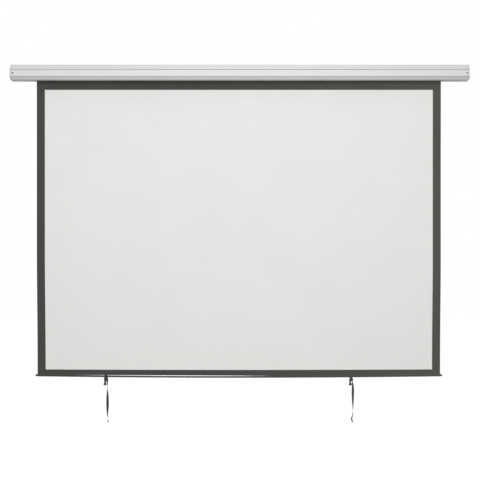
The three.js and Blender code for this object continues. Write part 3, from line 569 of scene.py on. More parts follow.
class Recipe(Nodes):
    """The node tree of one material: patterns, and what they do to its shader."""

    def __init__(self, name: str) -> None:
        """Starts a material with its shader.

        Args:
            name: the material's name.
        """
        self.material = bpy.data.materials.new(name)
        self.material.use_nodes = True
        super().__init__(self.material.node_tree)
        self.shader = self.tree.nodes["Principled BSDF"]

    def feed(self, word: str, value: Socket) -> None:
        """Joins a socket to an input of the shader."""
        self.tree.links.new(value, self.shader.inputs[word])

    def set(self, **values: float | tuple[float, ...]) -> None:
        """Sets inputs of the shader that are the same all over, named with underscores for spaces."""
        for key, value in values.items():
            self.shader.inputs[key.replace("_", " ")].default_value = value

    def place(self, place: Place, stretch: Triple = (1.0, 1.0, 1.0)) -> Socket:
        """Gives coordinates in metres, each axis multiplied by its stretch."""
        source = self.node("ShaderNodeTexCoord", {}, place.value)
        return self.node("ShaderNodeMapping", {"Vector": source, "Scale": stretch})

    def axis(self, place: Place, word: str) -> Socket:
        """Gives one coordinate in metres."""
        return self.node("ShaderNodeSeparateXYZ", {"Vector": self.place(place)}, word)

    def noise(self, vector: Socket, scale: float, detail: float = 3.0) -> Socket:
        """Gives a soft random pattern between 0 and 1."""
        inputs = {"Vector": vector, "Scale": scale, "Detail": detail, "Roughness": 0.55}
        return self.node("ShaderNodeTexNoise", inputs, "Fac")

    def waves(self, word: str, pitch: float) -> Socket:
        """Gives the sine of the place along one way of the surface, with one wave for each pitch."""
        return self.sums("SINE", self.sums("MULTIPLY", self.axis(Place.SURFACE, word), TURN / pitch))

    def lean(self, gain: float) -> Socket:
        """Gives a painted sheen: a factor that grows from 1 at the middle to 1 + gain at the right edge."""
        return self.span(self.axis(Place.OBJECT, "X"), 1.0, 1.0 + gain, *PAINTED_SHEEN_SPAN)

    def grooves(self, dark: float) -> Socket:
        """Finds the inside of the casing's two front grooves, by height and by depth, for the shade painted
        there.

        Args:
            dark: the factor at a groove's floor, how dark the painted shade gets.

        Returns:
            A factor that falls to dark inside the grooves, as painted shade, and is 1 elsewhere.
        """
        height = self.sums("ABSOLUTE", self.sums("ADD", self.axis(Place.OBJECT, "Z"), -GROOVE_MIDDLE))
        apart = self.sums("ABSOLUTE", self.sums("SUBTRACT", height, GROOVE_AWAY))
        inside = self.sums("LESS_THAN", apart, GROOVE_HALF)
        deep = self.span(self.axis(Place.OBJECT, "Y"), 0.0, 1.0, GROOVE_MOUTH, GROOVE_FLOOR)
        front = self.sums("LESS_THAN", self.axis(Place.OBJECT, "Y"), FACE_END)
        share = self.sums("MULTIPLY", self.sums("MULTIPLY", inside, front), deep)
        return self.span(share, 1.0, dark, 0.0, 1.0)

    def tint(self, pattern: Socket, colour: Colour, spread: float, scale: Socket | None = None) -> None:
        """Lets the base colour run with a pattern, from a darker to a lighter shade.

        Args:
            pattern: the share of the lighter shade.
            colour: the colour between both shades.
            spread: how far each shade is off, as a share.
            scale: a factor for the result, where it has one: painted shade in the grooves or a painted sheen
                towards the right edge.
        """
        dark, light = ([min(channel * by, 1.0) for channel in colour] for by in (1 - spread, 1 + spread))
        inputs = {0: pattern, 6: (*dark, 1.0), 7: (*light, 1.0)}
        mixed = self.node("ShaderNodeMix", inputs, 2, data_type="RGBA")
        if scale is not None:
            mixed = self.node("ShaderNodeVectorMath", {0: mixed, "Scale": scale}, operation="SCALE")
        self.feed("Base Color", mixed)

    def roughness(self, pattern: Socket, low: float, high: float) -> None:
        """Lets the roughness run from low to high with a pattern."""
        self.feed("Roughness", self.span(pattern, low, high))

    def relief(self, layers: Sequence[tuple[Socket, float]]) -> None:
        """Lays patterns on each other as relief.

        Args:
            layers: a height pattern and its depth in metres for each layer.
        """
        below: Inputs = {}
        for height, depth in layers:
            inputs = {"Height": height, "Distance": depth, "Strength": 1.0, **below}
            below = {"Normal": self.node("ShaderNodeBump", inputs)}
        self.feed("Normal", below["Normal"])


@dataclass(frozen=True)
class Finish:
    """A finish in one colour, whose pattern each kind of finish lays in its own way."""

    colour: Colour

    def build(self, name: str) -> bpy.types.Material:
        """Makes the material.

        Args:
            name: the material's name.

        Returns:
            The new material.
        """
        recipe = Recipe(name)
        self.lay(recipe)
        return recipe.material

    def lay(self, recipe: Recipe) -> None:
        """Lays the pattern in a recipe."""
        raise NotImplementedError


@dataclass(frozen=True)
class SatinMetal(Finish):
    """Satin or drawn metal whose fine lines run along X, as an extrusion leaves them."""

    metallic: float
    smoothest: float
    roughest: float
    streaks: float = 0.03
    # How dark the shade painted into the casing's front grooves gets at their floor
    groove: float = 0.42
    line_share: float = 0.6

    def lay(self, recipe: Recipe) -> None:
        """Lays streaks far longer in X than across, a slow cloud in the roughness, and shade painted into
        the front grooves.

        Args:
            recipe: the material's recipe.
        """
        lines = recipe.noise(recipe.place(Place.OBJECT, (0.5, 420.0, 420.0)), 1.0, 4.0)
        cloud = recipe.noise(recipe.place(Place.OBJECT, (2.0, 9.0, 9.0)), 1.0, 2.0)
        streaky = recipe.sums("MULTIPLY", lines, self.line_share)
        both = recipe.sums("ADD", streaky, recipe.sums("MULTIPLY", cloud, 1 - self.line_share))
        # The grooves' factor darkens the colour there: painted shade
        recipe.tint(recipe.span(both, 0.0, 1.0), self.colour, self.streaks, recipe.grooves(self.groove))
        recipe.roughness(both, self.smoothest, self.roughest)
        recipe.relief([(lines, 6e-6)])
        recipe.set(Metallic=self.metallic, Specular_IOR_Level=0.3)


@dataclass(frozen=True)
class MouldedPlastic(Finish):
    """Moulded plastic with a fine spark-eroded grain."""

    smoothest: float = 0.42
    roughest: float = 0.58
    grain: float = 2200.0
    depth: float = 1.6e-5
    # How dark the shade painted into the end caps' grooves gets; 1 paints none
    groove: float = 1.0
    spread: float = 0.025

    def lay(self, recipe: Recipe) -> None:
        """Lays two sizes of noise, one as grain and one as a slow change of tone, and paints shade into the
        grooves where the groove factor is under 1.

        Args:
            recipe: the material's recipe.
        """
        plain = recipe.place(Place.OBJECT)
        grain = recipe.noise(plain, self.grain, 2.0)
        cloud = recipe.noise(plain, 30.0, 2.0)
        # Painted shade in the grooves, where the groove factor is under 1
        scale = recipe.grooves(self.groove) if self.groove < 1.0 else None
        recipe.tint(recipe.span(cloud, 0.0, 1.0), self.colour, self.spread, scale)
        recipe.roughness(cloud, self.smoothest, self.roughest)
        recipe.relief([(grain, self.depth)])


@dataclass(frozen=True)
class PlatedSteel(Finish):
    """Steel with a plated or blackened skin: small crystals, and handling marks in the gloss."""

    metallic: float = 1.0
    smoothest: float = 0.28
    roughest: float = 0.46
    spangle: float = 260.0
    spread: float = 0.05

    def lay(self, recipe: Recipe) -> None:
        """Lays crystal cells that tint it and noise that roughens it.

        Args:
            recipe: the material's recipe.
        """
        plain = recipe.place(Place.OBJECT)
        crystals = recipe.node("ShaderNodeTexVoronoi", {"Vector": plain, "Scale": self.spangle}, "Color")
        marks = recipe.noise(plain, 55.0, 5.0)
        recipe.tint(recipe.span(crystals, 0.0, 1.0, 0.0, 1.0), self.colour, self.spread)
        recipe.roughness(marks, self.smoothest, self.roughest)
        recipe.relief([(marks, 8e-6)])
        recipe.set(Metallic=self.metallic)


@dataclass(frozen=True)
class CoatedCloth(Finish):
    """Coated projection cloth: a plain weave that shows faintly through a matt skin."""

    pitch: float = 0.0007
    depth: float = 1.4e-5
    cloud: float = 0.012
    roughness: float = 0.86
    specular: float = 0.3
    # How much lighter a painted sheen makes the colour at the right edge; 0 paints none
    lean: float = 0.0
    spread: float = 0.04

    def lay(self, recipe: Recipe) -> None:
        """Lays the weave, whose height is the sine across times the sine along.

        Args:
            recipe: the material's recipe.
        """
        surface = recipe.place(Place.SURFACE)
        weave = recipe.sums("MULTIPLY", recipe.waves("X", self.pitch), recipe.waves("Y", self.pitch))
        fine = recipe.noise(surface, 900.0, 2.0)
        slow = recipe.noise(surface, 3.5, 3.0)
        # A painted sheen towards the right edge, where lean is set
        scale = recipe.lean(self.lean) if self.lean else None
        recipe.tint(recipe.span(slow, 0.0, 1.0), self.colour, self.cloud, scale)
        recipe.roughness(fine, self.roughness - self.spread, self.roughness + self.spread)
        recipe.relief([(weave, self.depth), (fine, self.depth)])
        recipe.set(Specular_IOR_Level=self.specular)


@dataclass(frozen=True)
class WovenTape(Finish):
    """Woven tape: ribs across its width and a finer thread along it."""

    rib: float = 0.0013
    thread: float = 0.0008
    depth: float = 9e-5
    roughness: float = 0.8
    # How much lighter a painted sheen makes the tape at the right edge
    lean: float = 1.3
    streaks: float = 0.18
    spread: float = 0.08

    def lay(self, recipe: Recipe) -> None:
        """Lays the ribs, whose height is the sine of the length plus half the sine of the width.

        Args:
            recipe: the material's recipe.
        """
        threads = recipe.sums("MULTIPLY", recipe.waves("X", self.thread), 0.5)
        weave = recipe.sums("ADD", recipe.waves("Y", self.rib), threads)
        fuzz = recipe.noise(recipe.place(Place.SURFACE), 1500.0, 3.0)
        shade = recipe.span(weave, 0.0, 1.0, -1.5, 1.5)
        # The tape's colour grows lighter towards the right edge: a painted sheen
        recipe.tint(shade, self.colour, self.streaks, recipe.lean(self.lean))
        recipe.roughness(fuzz, self.roughness - self.spread, self.roughness + self.spread)
        recipe.relief([(weave, self.depth), (fuzz, self.depth / 3)])
        recipe.set(Specular_IOR_Level=0.15)


FINISHES: dict[str, Finish] = {
    # satin_aluminium and grey_plastic darken in the casing's front grooves as painted shade
    "satin_aluminium": SatinMetal((0.64, 0.645, 0.63), 0.1, 0.46, 0.56),
    "grey_plastic": MouldedPlastic((0.58, 0.585, 0.57), groove=0.42),
    "black_steel": PlatedSteel((0.03, 0.03, 0.03), 0.4, 0.4, 0.55),
    "zinc_steel": PlatedSteel((0.46, 0.475, 0.49)),
    "bright_steel": PlatedSteel((0.56, 0.57, 0.58), 1.0, 0.2, 0.34, 900.0),
    "black_plastic": MouldedPlastic((0.022, 0.022, 0.022)),
    "white_plastic": MouldedPlastic((0.78, 0.78, 0.75)),
    "yellow_plastic": MouldedPlastic((0.72, 0.46, 0.03)),
    "black_rubber": MouldedPlastic((0.02, 0.02, 0.02), 0.68, 0.85, 700.0, 3e-5),
    "white_cloth": CoatedCloth((0.8, 0.8, 0.785)),
    # The black print and the tapes lighten towards the right edge: a painted sheen
    "black_print": CoatedCloth((0.055, 0.055, 0.051), cloud=0.05, lean=0.4),
    "black_cloth": CoatedCloth((0.03, 0.03, 0.029), cloud=0.06),
    "black_tape": WovenTape((0.042, 0.042, 0.04)),
}


def shading_group() -> bpy.types.NodeTree:
    """Builds the geometry nodes that weld a solid's triangles and shade it smooth but for its creases.

    Returns:
        The node group.
    """
    group = bpy.data.node_groups.new("smooth_between_creases", "GeometryNodeTree")
    for way in ("INPUT", "OUTPUT"):
        group.interface.new_socket("Geometry", in_out=way, socket_type="NodeSocketGeometry")
    nodes = Nodes(group)
    angle = nodes.node("GeometryNodeInputMeshEdgeAngle", {}, "Unsigned Angle")
    flat = nodes.node("FunctionNodeCompare", {"A": angle, "B": CREASE}, "Result", operation="LESS_THAN")
    solid = nodes.node("NodeGroupInput", {})
    solid = nodes.node("GeometryNodeMergeByDistance", {0: solid, "Distance": 5 * WELD})
    solid = nodes.node("GeometryNodeRemoveAttribute", {0: solid, "Name": "custom_normal"})
    solid = nodes.node("GeometryNodeSetShadeSmooth", {0: solid})
    solid = nodes.node("GeometryNodeSetShadeSmooth", {0: solid, "Shade Smooth": flat}, domain="EDGE")
    group.links.new(solid, group.nodes.new("NodeGroupOutput").inputs[0])
    return group


class Workshop:
    """Makes pieces for the frame: each new one takes its body and finish from the node that it replaces."""

    def __init__(self, frame: dict) -> None:
        """Reads the frame's bodies and material slots.
        """
        record = frame["record"]
        self.nodes: dict[str, bpy.types.Object] = frame["nodes"]
        self.slots = {part["node"]: part["material_slot"] for part in record["subparts"]}
        bodies = record["behaviour"]["bodies"]
        self.bodies = {node: body for body, members in bodies.items() for node in members}
        self.materials: dict[str, bpy.types.Material] = {}
        self.shading = shading_group()

    def paint(self, piece: bpy.types.Object, node: str) -> None:
        """Gives a piece the finish of a node's slot, made the first time that it is needed.

        Args:
            piece: the object to paint.
            node: the node whose slot it has.
        """
        slot = self.slots[node]
        if slot not in self.materials:
            self.materials[slot] = FINISHES[slot].build(slot)
        piece.data.materials.clear()
        piece.data.materials.append(self.materials[slot])

    def make(
        self, name: str, shell: Shell, node: str, holes: Shell | None = None, welded: Shell | None = None
    ) -> bpy.types.Object:
        """Makes a piece that stands for one node, smooth but for its creases.

        Args:
            name: the piece's name.
            shell: its surface.
            node: the node that it replaces.
            holes: closed shells to cut out of it.
            welded: closed shells that join it after the cut.

        Returns:
            The new object, riding on the node's body.
        """
        piece = bpy.data.objects.new(name, shell.mesh(name))
        bpy.context.scene.collection.objects.link(piece)
        if holes is not None:
            bored(piece, holes)
        if welded is not None:
            joined(piece, welded)
        piece.data.name = name
        piece.data.shade_smooth()
        piece.data.set_sharp_from_angle(angle=CREASE)
        self.paint(piece, node)
        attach(piece, self.bodies[node])
        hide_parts(node)
        LOG.info("%s: %d faces for %s on %s", name, len(piece.data.polygons), node, self.bodies[node])
        return piece

    def dress(self, node: str) -> None:
        """Gives a node that stays its finish, smooth shading between its creases and eased edges.

        Args:
            node: the node's name.
        """
        piece = self.nodes[node]
        self.paint(piece, node)
        piece.modifiers.new("shading", "NODES").node_group = self.shading
        faces = piece.modifiers.new("flat_faces", "DECIMATE")
        faces.decimate_type = "DISSOLVE"
        faces.angle_limit = FLAT
        easing = piece.modifiers.new("eased_edges", "BEVEL")
        easing.width = EASE
        easing.segments = 2
        easing.limit_method = "ANGLE"
        easing.angle_limit = CREASE
        LOG.info("%s: kept, in %s", node, self.slots[node])


def middle(node: str) -> Array:
    """Gives the centre of a node's box."""
    low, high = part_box(node)
    return (np.array(low) + np.array(high)) / 2.0


@dataclass
class Screw:
    """A screw: a head with a driver's recess over a plain shank."""

    radius: float
    height: float
    drive: Drive
    across: float
    depth: float
    shank: float = 0.002
    length: float = 0.009
    crown: float = 3.0
    cone: bool = False
    rings: int = 30
    sides: int = 96
    slope_share: float = 0.12
    bar_start: float = 1.3
    bar_end: float = 1.6
    fall: float = 0.35

    def _recess(self, radius: Array, angle: Array) -> Array:
        """Works out where the driver fits.

        A cross is two bars, each as wide as across and 2.9 times as long. A hexagon is where the distance
        along each of its three normals stays under half of across.

        Args:
            radius: distances from the screw's axis.
            angle: angles round it.

        Returns:
            1 inside the recess, 0 outside it, and a narrow slope between.
        """
        slope = self.across * self.slope_share
        if self.drive is Drive.HEX:
            normals = np.radians([0.0, 60.0, 120.0])
            far = np.abs(radius[..., None] * np.cos(angle[..., None] - normals)).max(axis=-1)
            return 1.0 - smooth(far, self.across / 2 - slope, self.across / 2)
        over, up = np.abs(radius * np.cos(angle)), np.abs(radius * np.sin(angle))
        near, far = np.minimum(over, up), np.maximum(over, up)
        thin = 1.0 - smooth(near, self.across / 2 - slope, self.across / 2 + slope)
        return thin * (1.0 - smooth(far, self.across * self.bar_start, self.across * self.bar_end))

    def shell(self, seat: Triple, axis: Axis, out: float) -> Shell:
        """Builds the screw.

        The head's top is height times the root of 1 - (share of the radius)^crown, less the recess, whose
        depth falls off towards its end.

        Args:
            seat: the point under the middle of the head, on the face that it bears on.
            axis: the screw's axis.
            out: 1 where the head is on the axis's positive side, and -1 where it is on the other.

        Returns:
            The closed shell.
        """
        share = np.sin(np.linspace(0.0, QUARTER, self.rings))[:, None]
        angle = np.linspace(0.0, TURN, self.sides + 1)[None]
        radius = np.broadcast_to(share * self.radius, (self.rings, self.sides + 1))
        top = self.height * np.sqrt(np.clip(1.0 - share**self.crown, 0.0, 1.0))
        recess = self._recess(radius, np.broadcast_to(angle, radius.shape))
        level = top - self.depth * recess * (1.0 - self.fall * share)
        drop = self.radius - self.shank if self.cone else 0.0
        end = -self.length
        under = np.array([[0.0, self.radius], [-drop, self.shank], [end, self.shank], [end, 0.0]])
        radius = np.concatenate([radius, np.broadcast_to(under[:, 1:], (4, self.sides + 1))])
        level = np.concatenate([level, np.broadcast_to(under[:, :1], (4, self.sides + 1))])
        return Shell().grid(spun(out * level, radius, seat, axis, self.sides))


@dataclass(frozen=True)
class Channel:
    """The channel along the casing's back: a pocket behind the wall with a narrower mouth."""

    rise: float = 0.014
    mouth: float = 0.0084
    width: float = 0.015
    depth: float = 0.0045
    wall: float = 0.002

    def edges(self, across: float, play: float = 0.0) -> Pair:
        """Gives the upper and lower edge of the mouth or pocket, moved inwards by a play."""
        return self.rise + across / 2 - play, self.rise - across / 2 + play


CHANNEL = Channel()


@dataclass
class Casing:
    """The extruded casing with its end caps, screws and cable bush; its first four sizes are measured."""

    end: float
    housing_end: float
    depth: float
    top: float
    wall: float = CASING_WALL
    top_inset: float = 0.020
    bottom_inset: float = 0.013
    rear_inset: float = 0.012
    low_round: float = 0.006
    high_round: float = 0.004
    rear_round: float = 0.003
    inner_round: float = 0.0008
    face_rise: float = 0.0117
    face_drop: float = 0.0251
    groove_width: float = 0.0026
    groove_depth: float = 0.0012
    groove_slide: float = 2.5
    edge: float = 0.0003
    slot: Pair = (-0.035575, -0.017575)
    slot_lip: float = 0.006
    cap_face: float = 0.004
    cap_edge: float = 0.0014
    cap_foot: float = 0.0002
    panel_inset: float = 0.0042
    panel_depth: float = 0.0006
    tongue: float = 0.024
    tongue_gauge: float = 0.005
    tongue_round: float = 0.0006
    slot_tongue: float = 0.030

    @classmethod
    def measured(cls) -> Casing:
        """Takes the outer sizes from the frame."""
        low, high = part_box("housing")
        return cls(end=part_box("right_end_cap")[1].x, housing_end=high.x, depth=-low.y, top=high.z)

    def corners(self) -> list[Corner]:
        """Lists the outer corners, from the lower front one round by the front.

        Returns:
            Eight corners with their radii.
        """
        front, rear = -self.depth, self.top - self.rear_inset
        return [
            (front + self.bottom_inset, -self.top, self.low_round),
            (front, -self.face_drop, self.edge),
            (front, self.face_rise, self.edge),
            (front + self.top_inset, self.top, self.high_round),
            (-self.rear_inset, self.top, self.rear_round),
            (0.0, rear, self.rear_round),
            (0.0, -rear, self.rear_round),
            (-self.rear_inset, -self.top, self.rear_round),
        ]

    def grooved(self, corners: Array, groove: float, spread: float = 0.0) -> Array:
        """Puts the two grooves into the front of an outline.

        Args:
            corners: the eight corners, moved inwards or not.
            groove: how deep the grooves are here.
            spread: how much wider they are here; their outer walls slide onto the facets with it.

        Returns:
            The corners from the lower front one to the upper front one, with the grooves between.
        """
        front, low, high = corners[1, 0], corners[1, 1], corners[2, 1]
        floor = front + groove
        width = self.groove_width + spread
        lower, upper = width - self.face_drop, self.face_rise - width
        tight = self.edge / 2
        ways = [unit(corners[far, :2] - corners[near, :2]) for far, near in ((0, 1), (3, 2))]
        slid = [way * self.groove_slide * spread for way in ways]
        return np.array(
            [
                corners[0],
                (front + slid[0][0], low + slid[0][1], self.edge),
                (floor, low, tight),
                (floor, lower, tight),
                (front, lower, self.edge),
                (front, upper, self.edge),
                (floor, upper, tight),
                (floor, high, tight),
                (front + slid[1][0], high + slid[1][1], self.edge),
                corners[3],
            ]
        )

    def section(self) -> Array:
        """Draws the extrusion's section: an open shell with lips at the slot and a channel in its back.

        Returns:
            The outline's points.
        """
        outer, inner = inset(self.corners(), 0.0), inset(self.corners(), self.wall)
        inner[:, 2] = np.maximum(inner[:, 2], self.inner_round)
        mouth, pocket = CHANNEL.edges(CHANNEL.mouth), CHANNEL.edges(CHANNEL.width)
        floor = -self.wall - CHANNEL.depth
        back = floor - CHANNEL.wall
        # Round the outside by the front, up and into the channel, down the rear, then back along the inside
        lip, base = self.slot_lip - self.top, self.wall - self.top
        front, rear = self.slot
        soft, thick = self.edge, self.wall * 0.3
        corners = [
            (front, -self.top, soft),
            *self.grooved(outer, self.groove_depth),
            *outer[4:6],
            (0.0, mouth[0], soft),
            (-self.wall, mouth[0], soft),
            (-self.wall, pocket[0], soft),
            (floor, pocket[0], soft),
            (floor, pocket[1], soft),
            (-self.wall, pocket[1], soft),
            (-self.wall, mouth[1], soft),
            (0.0, mouth[1], soft),
            *outer[6:8],
            (rear, -self.top, soft),
            (rear, lip, thick),
            (rear + self.wall, lip, thick),
            (rear + self.wall, base, thick),
            inner[7],
            inner[6],
            (-self.wall, pocket[1] - CHANNEL.wall, thick),
            (back, pocket[1] - CHANNEL.wall, thick),
            (back, pocket[0] + CHANNEL.wall, thick),
            (-self.wall, pocket[0] + CHANNEL.wall, thick),
            *inner[5::-1],
            (front - self.wall, base, thick),
            (front - self.wall, lip, thick),
            (front, lip, thick),
        ]
        return rounded(np.array(corners))

    def housing(self) -> Shell:
        """Runs the section from one end cap to the other."""
        section = self.section()
        return Shell().column([at_x(section, side * self.housing_end) for side in (-1, 1)])

    def housing_holes(self, rear_screws: Sequence[str]) -> Shell:
        """Gathers the countersunk holes of the rear screws.

        Args:
            rear_screws: the screws' nodes.

        Returns:
            Closed shells that reach from inside the wall to behind it.
        """
        rim, shank, lip = 0.0038, 0.0023, 0.0004
        inside, outside = -0.0042, 0.001
        stations = [(inside, shank), (-lip - rim + shank, shank), (-lip, rim), (outside, rim)]
        holes = Shell()
        for node in rear_screws:
            x, _, z = middle(node)
            holes.grid(hole(stations, (x, 0.0, z), Axis.Y))
        return holes

    def cap_ring(self, inwards: float, groove: float) -> Array:
        """Draws the cap's outline with its grooves, which get wider where they get shallow.

        Args:
            inwards: how far the outline is moved inwards.
            groove: how deep the grooves are here.

        Returns:
            The outline's points.
        """
        corners = inset(self.corners(), inwards)
        corners[:, 2] = np.maximum(corners[:, 2], self.edge)
        spread = (self.groove_depth - groove) / 3
        return rounded(np.concatenate([self.grooved(corners, groove, spread), corners[4:]]))

    def cap(self, side: float) -> Shell:
        """Builds a hollow end cap from rings that go over its sunk face, round its edge and back inside.

        Args:
            side: -1 for the left cap and 1 for the right one.

        Returns:
            The cap's shell without its tongues.
        """
        length = self.end - self.housing_end
        groove, faint = self.groove_depth, PLAY / 6
        panel, sunk = self.panel_inset, self.panel_depth
        # A station has its inset, its distance behind the cap's face and its grooves' depth
        stations = [
            (panel + 0.0005, sunk, faint),
            (panel + 0.0002, sunk * 0.85, faint),
            (panel, sunk * 0.15, faint),
            (panel - 0.0003, 0.0, faint),
            *((inwards, depth, groove) for inwards, depth in quarter(self.cap_edge, 7)),
            (0.0, length - self.cap_foot, groove),
            (self.cap_foot, length, groove),
            (self.wall, length, faint),
            (self.wall, self.cap_face, faint),
        ]
        rings = [at_x(self.cap_ring(by, notch), side * (self.end - depth)) for by, depth, notch in stations]
        return Shell().column(rings)

    def tongues(self, side: float) -> Shell:
        """Gathers a cap's four tongues: front, rear, top and the one that fills the slot's end.

        Each runs into the housing, and a small chamfer draws its free end in.

        Args:
            side: -1 for the left cap and 1 for the right one.

        Returns:
            The shells of the tongues.
        """
        length = self.end - self.housing_end
        seat, thick, chamfer = self.wall + PLAY, self.tongue_gauge, self.tongue_round
        front, rear, high = -self.depth + seat, -seat, self.top - seat
        across = (self.top_inset - self.depth - self.rear_inset) / 2
        half = 0.018
        near, far = self.cap_face, length + self.tongue
        # A block has its lowest and highest y and z, and where it starts and stops behind the cap's face
        blocks = [
            ((front, -0.0162), (front + thick, 0.0038), near, far),
            ((rear - thick, -0.019), (rear, -0.001), near, far),
            ((across - half, high - thick), (across + half, high), near, far),
            (
                (self.slot[0] + PLAY, -self.top),
                (self.slot[1] - PLAY, self.slot_lip - self.top),
                length,
                length + self.slot_tongue,
            ),
        ]
        shell = Shell()
        for low, top, start, stop in blocks:
            corners = oblong(low, top, chamfer)
            stations = [(0.0, start), (0.0, stop - chamfer), (chamfer, stop)]
            rings = [(rounded(inset(corners, by), 3), self.end - depth) for by, depth in stations]
            shell.column([at_x(ring, side * away) for ring, away in rings])
        return shell

    def bush_hole(self) -> Shell:
        """Gives the stepped hole for the cable bush.

        Returns:
            The closed shell of the hole.
        """
        _, y, z = middle("cable_bush")
        rim, bore = 0.0084, 0.006
        stations = [(-0.002, rim), (0.0018, rim), (0.0018, bore), (0.0055, bore)]
        return Shell().grid(hole(stations, (-self.end, y, z), Axis.X))

    def bush(self) -> Shell:
        """Turns the cable bush: a sleeve through the cap's face with a rounded flange on either side.

        Returns:
            The bush's shell.
        """
        _, y, z = middle("cable_bush")
        bore, sleeve, rim = 0.0036, 0.0057, 0.0081
        near, far, proud, ledge = 0.0003, 0.0018, 0.0004, 0.0012
        back = self.cap_face + near
        end = back + far - near
        soft = 0.0005
        corners = [
            (near - proud, bore, soft),
            (near - proud, bore + ledge, soft),
            (near, rim, soft),
            (far, rim, soft / 2),
            (far, sleeve, soft / 2),
            (back, sleeve, soft / 2),
            (back, rim, soft),
            (end, rim, soft),
            (end, bore, soft),
        ]
        outline = rounded(corners)
        return Shell().grid(turned(np.concatenate([outline, outline[:1]]), (-self.end, y, z), Axis.X))

    def build(self, shop: Workshop) -> None:
        """Makes every outer piece of the casing.

        Args:
            shop: where pieces are made.
        """
        screws = [node for node in shop.nodes if node.endswith("_screw")]
        walled = [node for node in screws if "cap" in node or "bracket" in node]
        rear = [node for node in walled if "front" not in node]
        shop.make("casing_extrusion", self.housing(), "housing", self.housing_holes(rear))
        shop.make("left_end_moulding", self.cap(-1), "left_end_cap", self.bush_hole(), self.tongues(-1))
        shop.make("right_end_moulding", self.cap(1), "right_end_cap", welded=self.tongues(1))
        shop.make("cable_grommet", self.bush(), "cable_bush")
        pan = Screw(0.0038, 0.0018, Drive.CROSS, 0.0011, 0.0012)
        flat = Screw(0.0035, 0.0, Drive.CROSS, 0.001, 0.0011, cone=True)
        for node in walled:
            x, _, z = middle(node)
            screw, y, out = (flat, -0.0002, 1.0) if node in rear else (pan, -self.depth, -1.0)
            shop.make(f"{node}_dressed", screw.shell((x, y, z), Axis.Y, out), node)


@dataclass
class WallBracket:
    """A wall bracket on the casing's back channel, with its jaw and clamp screw."""

    word: str
    gauge: float = 0.0025
    wall_gap: float = 0.010
    standoff: float = 0.0023
    rise: float = 0.030
    drop: float = 0.022
    jaw_drop: float = 0.004
    soft: float = 0.0006
    inner_bend: float = 0.0012
    outer_bend: float = 0.0034
    ease: float = 0.0004
    hole_height: float = 0.024
    hole_away: float = 0.02
    clamp_bore: float = 0.0023

    def run(self, corners: list[Corner], node: str) -> tuple[Shell, Array]:
        """Runs a section along a node's length, its two ends eased by a small chamfer.

        Args:
            corners: the section's corners.
            node: the node that gives the two ends.

        Returns:
            The shell, and the point on the clamp screw's axis at the height of 0.
        """
        low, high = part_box(node)
        start, stop, ease = low.x, high.x, self.ease
        stations = [(ease, start), (0.0, start + ease), (0.0, stop - ease), (ease, stop)]
        shell = Shell().column([at_x(rounded(inset(corners, by)), x) for by, x in stations])
        return shell, np.array([(start + stop) / 2, (self.standoff + self.wall_gap - PLAY) / 2, 0.0])

    def plate(self, node: str) -> tuple[Shell, Shell]:
        """Bends the plate: up the wall, a hook into the channel and a flange below.

        Args:
            node: the node that it replaces.

        Returns:
            The plate, and its holes for the wall screws and the clamp screw.
        """
        back = self.wall_gap + self.gauge
        web, tip = CHANNEL.edges(CHANNEL.mouth, PLAY)[0], CHANNEL.edges(CHANNEL.width, PLAY)[0]
        hook = -CASING_WALL - PLAY
        flange = self.gauge - self.drop
        soft, inner, outer = self.soft, self.inner_bend, self.outer_bend
        corners = [
            (back, -self.drop, outer),
            (back, self.rise, soft),
            (self.wall_gap, self.rise, soft),
            (self.wall_gap, web, inner),
            (hook, web, inner),
            (hook, tip, soft),
            (hook - self.gauge, tip, soft),
            (hook - self.gauge, web - self.gauge, outer),
            (self.wall_gap, web - self.gauge, inner),
            (self.wall_gap, flange, inner),
            (self.standoff, flange, soft),
            (self.standoff, -self.drop, soft),
        ]
        shell, (x, y, _) = self.run(corners, node)
        bore, sunk = 0.003, 0.0038
        wall_hole = [(0.008, bore), (0.0118, bore), (0.0126, sunk), (0.014, sunk)]
        holes = Shell()
        for side in (-self.hole_away, self.hole_away):
            holes.grid(hole(wall_hole, (x + side, 0.0, self.hole_height), Axis.Y))
        holes.grid(hole([(-0.024, self.clamp_bore), (-0.018, self.clamp_bore)], (x, y, 0.0), Axis.Z))
        return shell, holes

    def jaw(self, node: str) -> tuple[Shell, Shell]:
        """Makes the jaw, whose lip turns down inside the channel.

        Args:
            node: the node that it replaces.

        Returns:
            The jaw, and its hole for the clamp screw.
        """
        web, tip = CHANNEL.edges(CHANNEL.mouth, PLAY)[1], CHANNEL.edges(CHANNEL.width, PLAY)[1]
        hook = -CASING_WALL - PLAY
        far, soft = self.wall_gap - PLAY, self.soft
        corners = [
            (far, -self.jaw_drop, soft),
            (far, web + self.gauge, soft),
            (hook - self.gauge, web + self.gauge, 0.0015),
            (hook - self.gauge, tip, soft),
            (hook, tip, soft),
            (hook, web, soft),
            (self.standoff, web, soft),
            (self.standoff, -self.jaw_drop, soft),
        ]
        shell, place = self.run(corners, node)
        bore = self.clamp_bore
        return shell, Shell().grid(hole([(-0.006, bore), (0.0083, bore)], place, Axis.Z))

    def build(self, shop: Workshop) -> None:
        """Makes the bracket, its jaw and its clamp screw.

        Args:
            shop: where pieces are made.
        """
        words = ("wall_bracket", "bracket_jaw", "clamp_screw")
        plate, jaw, clamp = (f"{self.word}_{word}" for word in words)
        shell, holes = self.plate(plate)
        shop.make(f"{self.word}_bracket_plate", shell, plate, holes)
        shell, holes = self.jaw(jaw)
        shop.make(f"{self.word}_clamp_jaw", shell, jaw, holes)
        x, y, _ = middle(clamp)
        screw = Screw(0.0035, 0.004, Drive.HEX, 0.003, 0.0022, length=0.030, crown=14.0)
        shop.make(f"{clamp}_dressed", screw.shell((x, y, -self.drop), Axis.Z, -1.0), clamp)


